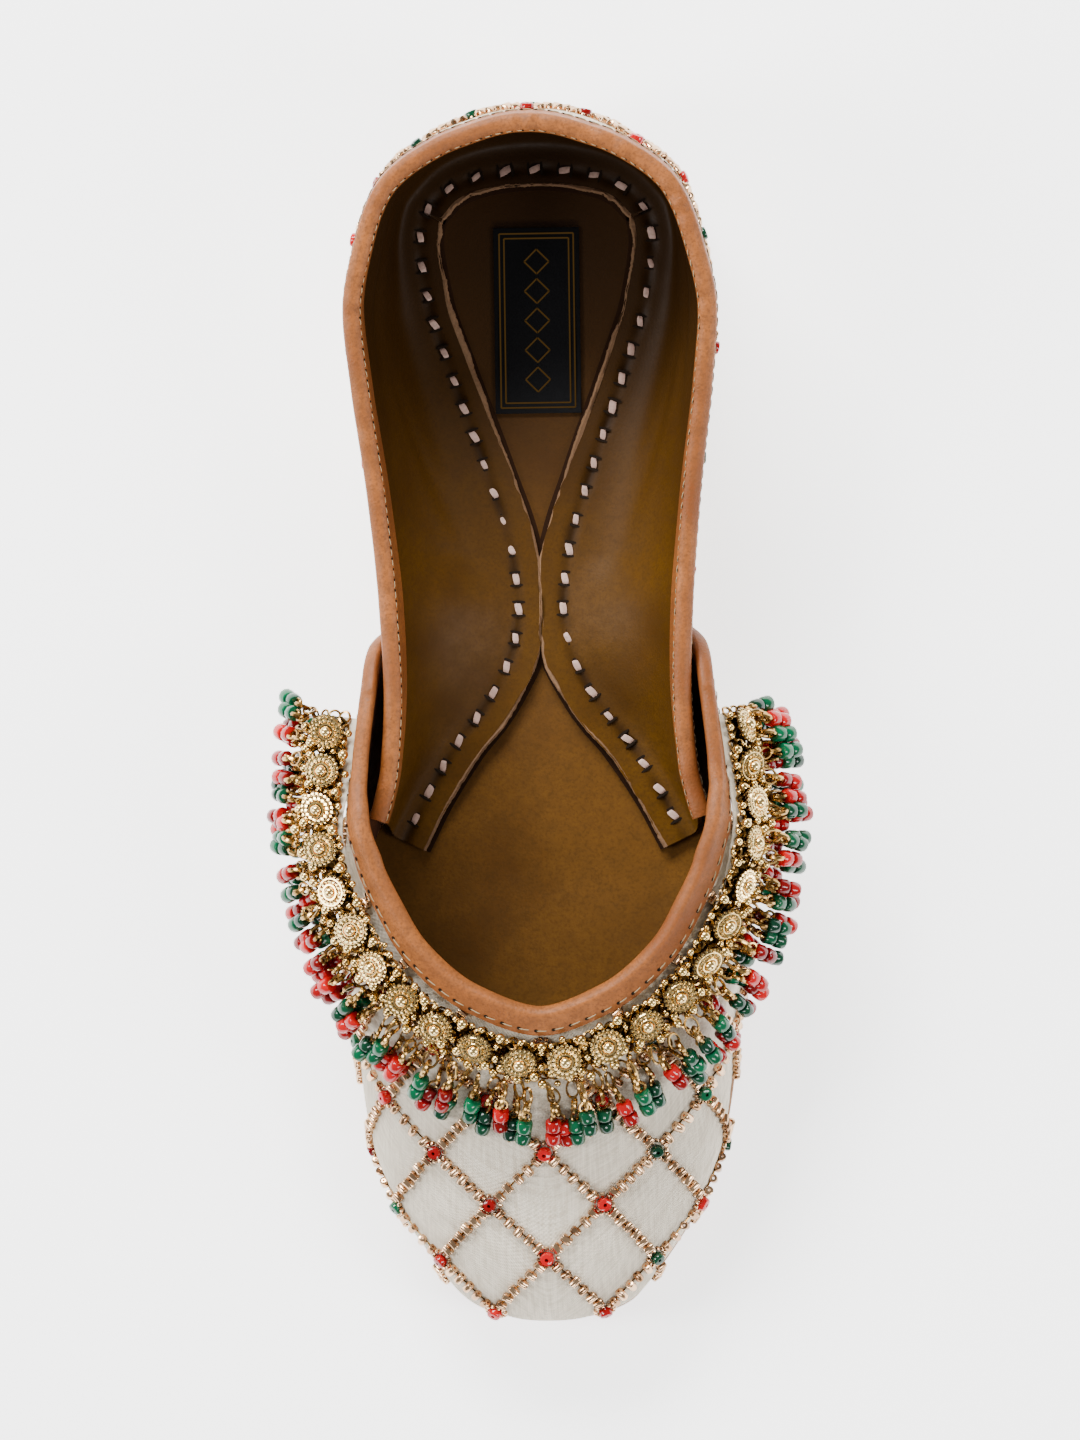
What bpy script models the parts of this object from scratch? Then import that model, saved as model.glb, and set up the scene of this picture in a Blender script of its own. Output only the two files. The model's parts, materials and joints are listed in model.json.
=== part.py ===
"""A mojari: a flat, straight-lasted slip-on shoe of leather and beaded fabric, standing empty on its sole.

Metres, +Z up. The toe points to -Y and the heel to +Y. The origin is on the floor, under the middle
of the shoe. Every piece is worked out from one shape, the form, which is the outer face of the back
part: an angle, turn, runs round the shoe from the toe (-pi) past the heel (0) to the toe (pi), and a
rise runs up it, from 0 at the sole, past 1 at the widest line, to 2 on the ridge over the foot.
"""

import math

import bmesh
import bpy
from mathutils import Vector

# Driving sizes of the sole
SOLE_LENGTH = 0.250
BALL_WIDTH = 0.0820
WAIST_WIDTH = 0.0212
HEEL_WIDTH = 0.0640
TOE_SPRING = 0.0040
ARCH_LIFT = 0.0046

# Layers under the foot, from the floor up
HEEL_PIECE_THICKNESS = 0.0024
HEEL_PIECE_REACH = 0.183
OUTSOLE_THICKNESS = 0.0026
MIDSOLE_THICKNESS = 0.0014
INSOLE_THICKNESS = 0.0012
EDGE_CHAMFER = 0.0006
RAND_STANDS_OUT = 0.0006
INSOLE_INSET = 0.0004

# Driving sizes of the upper
COLLAR_WIDTH = 0.0746
WAIST_OPENING = 0.0616
BACK_HEIGHT = 0.0455
SIDE_HEIGHT = 0.0270
INSTEP_HEIGHT = 0.0335
HEEL_BULGE = 0.0029
UPPER_INSET = 0.0020
QUARTER_WALL = 0.0016
VAMP_WALL = 0.0018
EAR_STANDS_OFF = 0.0034
FLANGE_WIDTH = 0.0078
QUARTER_ENDS = 0.585
FOOT_SLOPE = 0.35

# Bindings, trim and label
BINDING_LEATHER = 0.0009
BINDING_OUTSIDE = 0.0040
BINDING_INSIDE = 0.0060
BINDING_ENDS = 0.975
TRIM_ENDS = 0.60
TRIM_SMOOTHING = 0.08
CHAIN_WIDTH = 0.0080
CHAIN_THICKNESS = 0.0022
ROSETTE_DIAMETER = 0.0070
ROSETTE_HEIGHT = 0.0016
ROSETTES = 22
FRINGE_LENGTH = 0.0125
FRINGE_HEADER = 0.0016
LOCK_WIDTH = 0.0022
LOCKS = 60
LABEL_WIDTH = 0.018
LABEL_LENGTH = 0.039
LABEL_THICKNESS = 0.0006
LABEL_CENTRE = 0.160

# Clearances and fineness
GAP = 0.0003
LAP_GAP = 0.0005
WELD = 0.00001
SMALL_STEP = 0.005
SOLE_STEPS = 36
QUARTER_STEPS = 25
VAMP_STEPS = 16
VAMP_COLUMNS = 40
CROWDED_TO_EDGE = 1.35
TRIM_STEPS = 44
ROSETTE_SIDES = 8

# Where the middle of the sole lies, so that the heel's bulge and the rand reach equally far
SOLE_MIDDLE = (RAND_STANDS_OUT - HEEL_BULGE) / 2

HALF = {
    "ball": BALL_WIDTH / 2,
    "waist": WAIST_WIDTH / 2,
    "heel": HEEL_WIDTH / 2,
    "collar": COLLAR_WIDTH / 2,
    "opening": WAIST_OPENING / 2,
}

# Outline of the sole: share of length from the heel, the size followed, share of its half
SOLE_OUTLINE = (
    (0.009, "heel", 0.50),
    (0.021, "heel", 0.70),
    (0.036, "heel", 0.83),
    (0.060, "heel", 0.96),
    (0.093, "heel", 1.00),
    (0.150, "heel", 0.935),
    (0.216, "heel", 0.765),
    (0.298, "heel", 0.533),
    (0.361, "waist", 1.13),
    (0.405, "waist", 1.00),
    (0.426, "waist", 1.07),
    (0.450, "waist", 1.33),
    (0.470, "ball", 0.420),
    (0.496, "ball", 0.551),
    (0.562, "ball", 0.800),
    (0.622, "ball", 0.950),
    (0.695, "ball", 1.000),
    (0.773, "ball", 0.961),
    (0.852, "ball", 0.885),
    (0.900, "ball", 0.773),
    (0.948, "ball", 0.593),
    (0.972, "ball", 0.476),
    (0.984, "ball", 0.405),
)

# Widest line of the form, which is the collar as far as the vamp: the same columns
WIDEST_LINE = (
    (0.009, "collar", 0.30),
    (0.020, "collar", 0.49),
    (0.058, "collar", 0.81),
    (0.106, "collar", 0.93),
    (0.165, "collar", 1.00),
    (0.226, "collar", 0.968),
    (0.322, "collar", 0.890),
    (0.420, "opening", 1.013),
    (0.480, "opening", 0.995),
    (0.540, "opening", 1.025),
    (0.570, "opening", 1.075),
    (0.600, "ball", 0.868),
    (0.630, "ball", 0.925),
    (0.695, "ball", 0.950),
    (0.773, "ball", 0.905),
    (0.852, "ball", 0.842),
    (0.900, "ball", 0.735),
    (0.948, "ball", 0.550),
    (0.984, "ball", 0.372),
)

# Height of the widest line over the insole: share of length, the size followed, share of it
WIDEST_HEIGHT = (
    (0.000, "back", 1.00),
    (0.060, "back", 0.975),
    (0.120, "back", 0.925),
    (0.200, "back", 0.820),
    (0.300, "back", 0.670),
    (0.400, "side", 0.985),
    (0.500, "side", 1.000),
    (0.580, "side", 1.020),
    (0.625, "instep", 0.580),
    (0.656, "instep", 0.430),
    (0.700, "instep", 0.310),
    (0.757, "instep", 0.225),
    (0.820, "instep", 0.180),
    (0.900, "instep", 0.140),
    (0.950, "instep", 0.108),
    (1.000, "instep", 0.000),
)

# Height of the ridge over the insole: the same columns
RIDGE_HEIGHT = (
    (0.000, "instep", 2.40),
    (0.450, "instep", 1.70),
    (0.580, "instep", 1.60),
    (0.625, "instep", 1.46),
    (0.656, "instep", 1.37),
    (0.700, "instep", 1.20),
    (0.757, "instep", 1.00),
    (0.800, "instep", 0.84),
    (0.850, "instep", 0.655),
    (0.900, "instep", 0.49),
    (0.950, "instep", 0.355),
    (0.980, "instep", 0.245),
    (1.000, "instep", 0.00),
)

# Underside of the outsole over the floor: the same columns
SOLE_UNDERSIDE = (
    (0.000, "heel_base", 1.0),
    (HEEL_PIECE_REACH + 0.012, "heel_base", 1.0),
    (0.300, "arch", 0.92),
    (0.400, "arch", 1.00),
    (0.500, "arch", 0.62),
    (0.580, "arch", 0.20),
    (0.640, "arch", 0.00),
    (0.800, "spring", 0.00),
    (0.850, "spring", 0.08),
    (0.900, "spring", 0.28),
    (0.950, "spring", 0.60),
    (1.000, "spring", 1.00),
)

# The back of the heel: share of the back's height, share of the bulge beyond the sole
HEEL_CURVE = ((0.0, -0.45), (0.25, 0.55), (0.50, 1.00), (0.75, 0.72), (1.0, -0.20))

# The vamp's upper edge, from the sole at the waist to the middle of the throat: share of the way,
# share of the shoe's length, rise
VAMP_EDGE = (
    (0.000, 0.4035, 0.00),
    (0.160, 0.4180, 0.45),
    (0.270, 0.4400, 0.80),
    (0.330, 0.4640, 0.94),
    (0.400, 0.5000, 1.00),
    (0.500, 0.5620, 1.03),
    (0.600, 0.6130, 1.24),
    (0.690, 0.6520, 1.38),
    (0.790, 0.6950, 1.53),
    (0.900, 0.7370, 1.75),
    (1.000, 0.7570, 2.00),
)

# How far the vamp's ears stand off the quarter: share of length, share of EAR_STANDS_OFF
EARS = (
    (0.300, 0.00),
    (0.415, 0.00),
    (0.442, 0.40),
    (0.470, 0.62),
    (0.500, 0.85),
    (0.540, 1.00),
    (0.585, 0.80),
    (0.620, 0.40),
    (0.670, 0.00),
)

# Where up the wall the ears stand off: rise, share
EARS_UP = ((0.0, 0.0), (0.40, 0.0), (0.82, 1.0), (1.05, 1.0), (1.6, 0.0))

# How far the quarter's foot is lifted over the vamp's: share of length, share of the vamp's thickness
LAP_LIFT = ((0.360, 0.0), (0.405, 1.0), (0.570, 1.0), (0.640, 0.0))

# The quarter's rows: shares of the flange's width, then rises up the wall
FLANGE_SHARES = (1.0, 0.5, 0.12)
QUARTER_RISES = (0.0, 0.12, 0.26, 0.42, 0.58, 0.74, 0.88, 1.0)

# How the trim is laid, from the left end to the right one: share of the way, degrees that the chain
# slopes under the level, degrees that the fringe does
TRIM_LAY = (
    (0.0, 18, 63),
    (0.2, 20, 56),
    (0.4, 25, 34),
    (0.5, 25, 27),
    (0.6, 27, 30),
    (0.8, 46, 44),
    (1.0, 57, 48),
)

# A rosette's rings: share of its diameter, share of its height over the band
ROSETTE_RINGS = ((1.0, -0.7), (1.0, 0.3), (0.5, 1.0))

# A lock's rings: share of the fringe's length, of the lock's width, of the band's thickness below and above
LOCK_RINGS = ((0.0, 0.55, 0.2, 0.8), (0.60, 1.0, 0.0, 1.1), (1.0, 0.85, 0.05, 1.0))

COLOURS = {
    "red_leather": (0.30, 0.004, 0.012, 0.35, 0.0),
    "tan_leather": (0.52, 0.21, 0.08, 0.45, 0.0),
    "natural_leather": (0.58, 0.38, 0.25, 0.60, 0.0),
    "brown_leather": (0.10, 0.045, 0.012, 0.50, 0.0),
    "ecru_fabric": (0.65, 0.61, 0.55, 0.85, 0.0),
    "black_leather": (0.012, 0.012, 0.014, 0.55, 0.0),
    "gold_metal": (0.80, 0.56, 0.22, 0.25, 1.0),
    "glass_beads": (0.35, 0.01, 0.02, 0.12, 0.0),
}


def clear_scene():
    for old in list(bpy.data.objects):
        bpy.data.objects.remove(old, do_unlink=True)


def new_collection(name):
    collection = bpy.data.collections.new(name)
    bpy.context.scene.collection.children.link(collection)
    return collection


def material(name):
    found = bpy.data.materials.get(name)
    if found:
        return found
    made = bpy.data.materials.new(name)
    made.use_nodes = True
    red, green, blue, roughness, metallic = COLOURS[name]
    shader = made.node_tree.nodes["Principled BSDF"]
    shader.inputs["Base Color"].default_value = (red, green, blue, 1.0)
    shader.inputs["Roughness"].default_value = roughness
    shader.inputs["Metallic"].default_value = metallic
    made.diffuse_color = (red, green, blue, 1.0)
    return made


def smooth_curve(rows):
    """A curve through rows of (place, value) that never overshoots them."""
    places = [row[0] for row in rows]
    values = [row[1] for row in rows]
    slopes = [
        (values[i + 1] - values[i]) / (places[i + 1] - places[i])
        for i in range(len(rows) - 1)
    ]
    tangents = [slopes[0]]
    for before, after in zip(slopes, slopes[1:]):
        same_way = before * after > 0
        tangents.append(2 * before * after / (before + after) if same_way else 0.0)
    tangents.append(slopes[-1])

    def value(place):
        place = min(max(place, places[0]), places[-1])
        i = 0
        while i < len(slopes) - 1 and place > places[i + 1]:
            i += 1
        width = places[i + 1] - places[i]
        t = (place - places[i]) / width
        first = values[i] * (1 + 2 * t) * (1 - t) ** 2 + tangents[i] * width * t * (1 - t) ** 2
        second = values[i + 1] * t * t * (3 - 2 * t) + tangents[i + 1] * width * t * t * (t - 1)
        return first + second

    return value


def along_of(turn):
    """Share of the length, from the heel, at an angle round the shoe."""
    return (1 - math.cos(turn)) / 2


def turn_of(along):
    return math.acos(1 - 2 * min(max(along, 0.0), 1.0))


def outline_curve(rows):
    """Half-widths by angle, so that both round ends close smoothly."""
    placed = [(turn_of(along), HALF[size] * share) for along, size, share in rows]
    return smooth_curve([(0.0, 0.0), *placed, (math.pi, 0.0)])


def height_curve(rows, sizes):
    return smooth_curve([(turn_of(along), sizes[size] * share) for along, size, share in rows])


UPPER_SIZES = {"back": BACK_HEIGHT, "side": SIDE_HEIGHT, "instep": INSTEP_HEIGHT}
SOLE_SIZES = {"heel_base": HEEL_PIECE_THICKNESS + GAP, "arch": ARCH_LIFT, "spring": TOE_SPRING}

sole_half = outline_curve(SOLE_OUTLINE)
widest_half = outline_curve(WIDEST_LINE)
widest_height = height_curve(WIDEST_HEIGHT, UPPER_SIZES)
ridge_height = height_curve(RIDGE_HEIGHT, UPPER_SIZES)
underside_curve = height_curve(SOLE_UNDERSIDE, SOLE_SIZES)
heel_curve = smooth_curve([(share, HEEL_BULGE * bulge) for share, bulge in HEEL_CURVE])
ears = smooth_curve([(along, EAR_STANDS_OFF * share) for along, share in EARS])
ears_up = smooth_curve(EARS_UP)
lap_lift = smooth_curve([(along, (VAMP_WALL + LAP_GAP) * share) for along, share in LAP_LIFT])
vamp_edge_along = smooth_curve([(row[0], row[1]) for row in (*VAMP_EDGE, (1.10, *VAMP_EDGE[-2][1:]))])
vamp_edge_rise = smooth_curve([(row[0], row[2]) for row in VAMP_EDGE])
chain_slope = smooth_curve([(row[0], math.radians(row[1])) for row in TRIM_LAY])
fringe_slope = smooth_curve([(row[0], math.radians(row[2])) for row in TRIM_LAY])


def underside(turn):
    return underside_curve(abs(turn))


def outsole_top(turn):
    return underside(turn) + OUTSOLE_THICKNESS


def midsole_top(turn):
    return outsole_top(turn) + GAP + MIDSOLE_THICKNESS


def insole_top(turn):
    return midsole_top(turn) + GAP + INSOLE_THICKNESS


def on_insole(turn):
    return insole_top(turn) + GAP


def foot_height_of(turn):
    """Height of the form's foot: over the insole, and higher where the vamp's edge passes under it."""
    return on_insole(turn) + lap_lift(along_of(turn))


def raw_outline(turn):
    half = math.copysign(sole_half(abs(turn)), turn)
    return Vector((half, SOLE_MIDDLE + SOLE_LENGTH / 2 * math.cos(turn), 0.0))


def outline_point(turn, out=0.0, height=0.0):
    """A point on the sole's outline, moved outwards across it and up."""
    edge = raw_outline(turn + SMALL_STEP) - raw_outline(turn - SMALL_STEP)
    if abs(turn) > math.pi - SMALL_STEP:
        edge = Vector((1.0, 0.0, 0.0))
    outwards = Vector((-edge.y, edge.x, 0.0)).normalized()
    middle = raw_outline(turn)
    if outwards.dot(Vector((middle.x, (middle.y - SOLE_MIDDLE) * 0.2, 0.0))) < 0:
        outwards = -outwards
    place = middle + outwards * out
    return Vector((place.x, place.y, height))


def raw_form(turn, rise):
    """The form itself, with no thickness."""
    size = abs(turn)
    foot_half = sole_half(size) * (1 - UPPER_INSET / HALF["ball"])
    wide_half = widest_half(size)
    foot_height = foot_height_of(size)
    wide_height = on_insole(size) + widest_height(size)
    top_height = on_insole(size) + max(ridge_height(size), widest_height(size))
    lower = math.radians(90) * min(rise, 1.0)
    upper = math.radians(90) * max(rise - 1.0, 0.0)
    half = (foot_half + (wide_half - foot_half) * math.sin(lower)) * math.cos(upper)
    climb = FOOT_SLOPE * min(rise, 1.0) + (1 - FOOT_SLOPE) * (1 - math.cos(lower))
    height = foot_height + (wide_height - foot_height) * climb
    height += (top_height - wide_height) * math.sin(upper)
    up_the_back = (height - foot_height) / BACK_HEIGHT
    heel_end = SOLE_MIDDLE + SOLE_LENGTH / 2 + heel_curve(up_the_back)
    toe_end = SOLE_MIDDLE - SOLE_LENGTH / 2 + UPPER_INSET
    middle = (heel_end + toe_end) / 2
    half *= math.copysign(1.0, turn)
    return Vector((half, middle + (heel_end - toe_end) / 2 * math.cos(turn), height))


def form_normal(turn, rise):
    if abs(turn) > math.pi - 2 * SMALL_STEP:
        return Vector((0.0, -1.0, 0.0))
    low = max(rise - SMALL_STEP, 0.0)
    around = raw_form(turn + SMALL_STEP, rise) - raw_form(turn - SMALL_STEP, rise)
    up = raw_form(turn, low + 2 * SMALL_STEP) - raw_form(turn, low)
    return up.cross(around).normalized()


def form_point(turn, rise, out=0.0):
    return raw_form(turn, rise) + form_normal(turn, rise) * out


def vamp_lift(turn, rise):
    """How far outside the form the vamp's inner face is."""
    return LAP_GAP + ears(along_of(turn)) * ears_up(rise)


def link(mesh_data, name, collection, finish):
    made = bpy.data.objects.new(name, mesh_data)
    mesh_data.materials.append(material(finish))
    collection.objects.link(made)
    return made


def bmesh_to_object(shape, name, collection, finish):
    bmesh.ops.remove_doubles(shape, verts=shape.verts, dist=WELD)
    bmesh.ops.recalc_face_normals(shape, faces=shape.faces)
    mesh_data = bpy.data.meshes.new(name)
    shape.to_mesh(mesh_data)
    shape.free()
    mesh_data.shade_smooth()
    mesh_data.set_sharp_from_angle(angle=math.radians(40))
    return link(mesh_data, name, collection, finish)


def grid_faces(shape, rows, closed=False):
    """Quads between rows of vertices; closed joins each row's end to its start."""
    for first, second in zip(rows, rows[1:]):
        count = len(first)
        for i in range(count if closed else count - 1):
            j = (i + 1) % count
            shape.faces.new((first[i], first[j], second[j], second[i]))


def turns_between(start, end, steps):
    return [start + (end - start) * i / steps for i in range(steps + 1)]


def layer(name, collection, finish, rings, end_turn=math.pi, steps=SOLE_STEPS):
    """A flat layer: rings of (how far out, height) round the outline, decked across at each end."""
    shape = bmesh.new()
    turns = turns_between(0.0, end_turn, steps)
    loops = []
    for out, height in rings:
        left = [shape.verts.new(outline_point(-turn, out, height(turn))) for turn in turns]
        right = [shape.verts.new(outline_point(turn, out, height(turn))) for turn in turns]
        loops.append((left, right))
    for (left, right), (left_up, right_up) in zip(loops, loops[1:]):
        grid_faces(shape, [left, left_up])
        grid_faces(shape, [right, right_up])
        shape.faces.new((left[-1], right[-1], right_up[-1], left_up[-1]))
    for left, right in (loops[0], loops[-1]):
        grid_faces(shape, [left, right])
    bmesh.ops.dissolve_degenerate(shape, dist=WELD, edges=shape.edges)
    return bmesh_to_object(shape, name, collection, finish)


def make_sole(collection):
    """Heel piece, outsole, midsole and insole, each on the one below."""
    heel_rings = (
        (-EDGE_CHAMFER, lambda turn: 0.0),
        (0.0, lambda turn: EDGE_CHAMFER),
        (0.0, lambda turn: HEEL_PIECE_THICKNESS),
    )
    layer("heel_piece", collection, "red_leather", heel_rings, turn_of(HEEL_PIECE_REACH), SOLE_STEPS // 2)
    outsole_rings = (
        (-EDGE_CHAMFER, underside),
        (0.0, lambda turn: underside(turn) + EDGE_CHAMFER),
        (0.0, outsole_top),
    )
    layer("outsole", collection, "red_leather", outsole_rings)
    midsole_rings = (
        (RAND_STANDS_OUT, lambda turn: outsole_top(turn) + GAP),
        (RAND_STANDS_OUT, midsole_top),
    )
    layer("midsole", collection, "natural_leather", midsole_rings)
    insole_rings = (
        (-INSOLE_INSET, lambda turn: midsole_top(turn) + GAP),
        (-INSOLE_INSET, insole_top),
    )
    layer("insole", collection, "brown_leather", insole_rings)


def wall_between(name, collection, finish, inner_rows, outer_rows):
    """A wall between two grids of points of the same size, closed round its border."""
    shape = bmesh.new()
    inner = [[shape.verts.new(point) for point in row] for row in inner_rows]
    outer = [[shape.verts.new(point) for point in row] for row in outer_rows]
    grid_faces(shape, inner)
    grid_faces(shape, outer)
    for first, second in ((inner[0], outer[0]), (inner[-1], outer[-1])):
        grid_faces(shape, [first, second])
    for end in (0, -1):
        grid_faces(shape, [[row[end] for row in inner], [row[end] for row in outer]])
    return bmesh_to_object(shape, name, collection, finish)


def no_lower(point, height):
    return Vector((point.x, point.y, max(point.z, height)))


def flange_reach(turn, share):
    """How far the flange reaches in from the sole's edge; at the waist its two sides meet."""
    reach = UPPER_INSET + QUARTER_WALL + FLANGE_WIDTH * share
    if along_of(turn) > HEEL_PIECE_REACH:
        reach = min(reach, sole_half(abs(turn)) - GAP / 2)
    return reach


def make_quarter(collection):
    """The back part: a flange on the insole, turned up into a wall that flares to the collar."""
    end = turn_of(QUARTER_ENDS)
    turns = turns_between(-end, end, 2 * QUARTER_STEPS)
    inner_rows = []
    outer_rows = []
    for share in FLANGE_SHARES:
        outer_rows.append([outline_point(turn, -flange_reach(turn, share), on_insole(turn)) for turn in turns])
        inner_rows.append([
            outline_point(turn, -flange_reach(turn, share), on_insole(turn) + QUARTER_WALL)
            for turn in turns
        ])
    for rise in QUARTER_RISES:
        outer_rows.append([form_point(turn, rise) for turn in turns])
        inner_rows.append([
            no_lower(form_point(turn, max(rise, 0.06), -QUARTER_WALL), on_insole(turn) + QUARTER_WALL)
            for turn in turns
        ])
    wall_between("quarter", collection, "ecru_fabric", inner_rows, outer_rows)


def vamp_place(across, forward):
    """Turn and rise on the vamp: across runs over the foot from -1 to 1, forward from edge to toe."""
    share = 1 - abs(across)
    edge_along = vamp_edge_along(share)
    turn = turn_of(edge_along)
    turn += (math.pi - turn) * forward
    rise = vamp_edge_rise(share)
    rise += (2 * share - rise) * forward
    return math.copysign(turn, across), rise


def make_vamp(collection):
    """The front part: an arched wall from its throat and rear edges to the toe."""
    inner_rows = []
    outer_rows = []
    for step in range(VAMP_STEPS + 1):
        forward = (step / VAMP_STEPS) ** CROWDED_TO_EDGE
        inner_row = []
        outer_row = []
        for across in turns_between(-1.0, 1.0, VAMP_COLUMNS):
            inner_row.append(vamp_point(across, forward, 0.0))
            outer_row.append(vamp_point(across, forward, VAMP_WALL))
        inner_rows.append(inner_row)
        outer_rows.append(outer_row)
    wall_between("vamp", collection, "ecru_fabric", inner_rows, outer_rows)


def vamp_point(across, forward, out):
    """A point off the vamp's inner face; its foot stands on the insole."""
    turn, rise = vamp_place(across, forward)
    point = form_point(turn, rise, vamp_lift(turn, rise) + out)
    if rise < 0.001:
        return Vector((point.x, point.y, on_insole(turn)))
    return point


def sweep(name, collection, finish, sections):
    """A closed bar through sections of equal count, capped at both ends."""
    shape = bmesh.new()
    rows = [[shape.verts.new(point) for point in section] for section in sections]
    grid_faces(shape, rows, closed=True)
    shape.faces.new(rows[0])
    shape.faces.new(rows[-1])
    bmesh.ops.triangulate(shape, faces=[face for face in shape.faces if len(face.verts) > 4])
    return bmesh_to_object(shape, name, collection, finish)


def folded_strip(place, inner_face, wall):
    """A strip folded over an edge: place(down, out) is a point down the wall and off the form."""
    near = inner_face + wall + GAP
    far = near + BINDING_LEATHER
    back_near = inner_face - GAP
    back_far = back_near - BINDING_LEATHER
    over = GAP + BINDING_LEATHER
    middle = inner_face + wall / 2
    return [
        place(BINDING_OUTSIDE, far),
        place(BINDING_OUTSIDE / 2, far),
        place(-over * 0.3, far),
        place(-over, middle),
        place(-over * 0.3, back_far),
        place(BINDING_INSIDE / 2, back_far),
        place(BINDING_INSIDE, back_far),
        place(BINDING_INSIDE, back_near),
        place(BINDING_INSIDE / 2, back_near),
        place(-GAP, back_near),
        place(-GAP, near),
        place(BINDING_OUTSIDE, near),
    ]


def faced_strip(place, wall):
    """A strip on the outer face, turned over the edge as far as the inner face, which laps the quarter."""
    near = wall + LAP_GAP
    far = near + BINDING_LEATHER
    over = GAP + BINDING_LEATHER
    return [
        place(BINDING_OUTSIDE, far),
        place(BINDING_OUTSIDE / 2, far),
        place(-over * 0.3, far),
        place(-over, wall / 2),
        place(-over, 0.0),
        place(-GAP, 0.0),
        place(-GAP, near),
        place(BINDING_OUTSIDE / 2, near),
        place(BINDING_OUTSIDE, near),
    ]


def make_collar_binding(collection):
    """Tan leather folded over the quarter's top edge, as far as the vamp's ears let it."""
    end = turn_of(QUARTER_ENDS)
    sections = []
    for turn in turns_between(-end, end, 2 * QUARTER_STEPS):
        wall_length = (raw_form(turn, 1.0) - raw_form(turn, 0.9)).length * 10

        def place(down, out, turn=turn, wall_length=wall_length):
            if down < 0:
                return form_point(turn, 1.0, out) + Vector((0.0, 0.0, -down))
            return form_point(turn, 1.0 - down / wall_length, out)

        sections.append(folded_strip(place, -QUARTER_WALL, QUARTER_WALL))
    sweep("collar_binding", collection, "tan_leather", sections)


def past_edge(across):
    """The way out past the vamp's edge there, along its wall."""
    turn, rise = vamp_place(across, 0.0)
    ahead = vamp_point(min(across + SMALL_STEP, 1.0), 0.0, 0.0)
    behind = vamp_point(max(across - SMALL_STEP, -1.0), 0.0, 0.0)
    return form_normal(turn, rise).cross(ahead - behind).normalized()


def beside_edge(across, down, out):
    """A point this far down the vamp's wall, square to its edge, and off its inner face."""
    turn, rise = vamp_place(across, 0.0)
    wanted = past_edge(across) * -down
    by_turn = (raw_form(turn + SMALL_STEP, rise) - raw_form(turn - SMALL_STEP, rise)) / (2 * SMALL_STEP)
    by_rise = (raw_form(turn, rise + SMALL_STEP) - raw_form(turn, rise - SMALL_STEP)) / (2 * SMALL_STEP)
    both = by_turn.dot(by_rise)
    spread = by_turn.length_squared * by_rise.length_squared - both * both
    turn_part = by_turn.dot(wanted)
    rise_part = by_rise.dot(wanted)
    turn += (turn_part * by_rise.length_squared - rise_part * both) / spread
    rise += (rise_part * by_turn.length_squared - turn_part * both) / spread
    return form_point(turn, rise, vamp_lift(turn, rise) + out)


def make_vamp_binding(collection):
    """The same leather over the vamp's rear edges and throat, from sole to sole."""
    sections = []
    for column in turns_between(-1.0, 1.0, VAMP_COLUMNS):
        across = min(max(column, -BINDING_ENDS), BINDING_ENDS)

        def place(down, out, across=across):
            return beside_edge(across, down, out)

        sections.append(faced_strip(place, VAMP_WALL))
    sweep("vamp_binding", collection, "tan_leather", sections)


def trim_root(across):
    """Where the chain is sewn, just off the vamp binding's facing."""
    return vamp_point(across, 0.0, VAMP_WALL + LAP_GAP + BINDING_LEATHER + GAP)


def even_spacing(steps):
    """The place across the vamp at each share of the trim's own length, so that what hangs is evenly spread."""
    acrosses = turns_between(-TRIM_ENDS, TRIM_ENDS, steps)
    roots = [trim_root(across) for across in acrosses]
    run = [0.0]
    for behind, ahead in zip(roots, roots[1:]):
        run.append(run[-1] + (ahead - behind).length)
    return smooth_curve([(length / run[-1], across) for length, across in zip(run, acrosses)])


trim_across = even_spacing(TRIM_STEPS)


def trim_frame(share):
    """At a share of the way round the throat: where the chain starts, and the way out, in plan."""
    across = trim_across(share)
    ahead = trim_root(min(across + TRIM_SMOOTHING, TRIM_ENDS + TRIM_SMOOTHING / 2))
    behind = trim_root(max(across - TRIM_SMOOTHING, -TRIM_ENDS - TRIM_SMOOTHING / 2))
    outwards = Vector((ahead.y - behind.y, behind.x - ahead.x, 0.0)).normalized()
    return trim_root(across), outwards


def slanted(outwards, slope):
    return outwards * math.cos(slope) + Vector((0.0, 0.0, -math.sin(slope)))


def chain_place(share, reach, thickness):
    root, outwards = trim_frame(share)
    slope = chain_slope(share)
    along = slanted(outwards, slope)
    upright = outwards * math.sin(slope) + Vector((0.0, 0.0, math.cos(slope)))
    return root + along * reach + upright * thickness


def fringe_place(share, reach, thickness):
    root, outwards = trim_frame(share)
    start = chain_place(share, CHAIN_WIDTH + 2 * GAP, 0.0)
    slope = fringe_slope(share)
    upright = outwards * math.sin(slope) + Vector((0.0, 0.0, math.cos(slope)))
    return start + slanted(outwards, slope) * reach + upright * thickness


def fused(name, collection, cutters, base, extras):
    """One solid of a base and the pieces that grow from it."""
    joined = bmesh.new()
    for extra in extras:
        joined.from_mesh(extra)
        bpy.data.meshes.remove(extra)
    extra_mesh = bpy.data.meshes.new(name + "_extras")
    joined.to_mesh(extra_mesh)
    joined.free()
    extra_object = bpy.data.objects.new(name + "_extras", extra_mesh)
    cutters.objects.link(extra_object)
    extra_object.hide_render = True
    extra_object.display_type = "WIRE"
    union = base.modifiers.new("fuse", "BOOLEAN")
    union.operation = "UNION"
    union.solver = "EXACT"
    union.use_self = True
    union.object = extra_object
    return base


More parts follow.
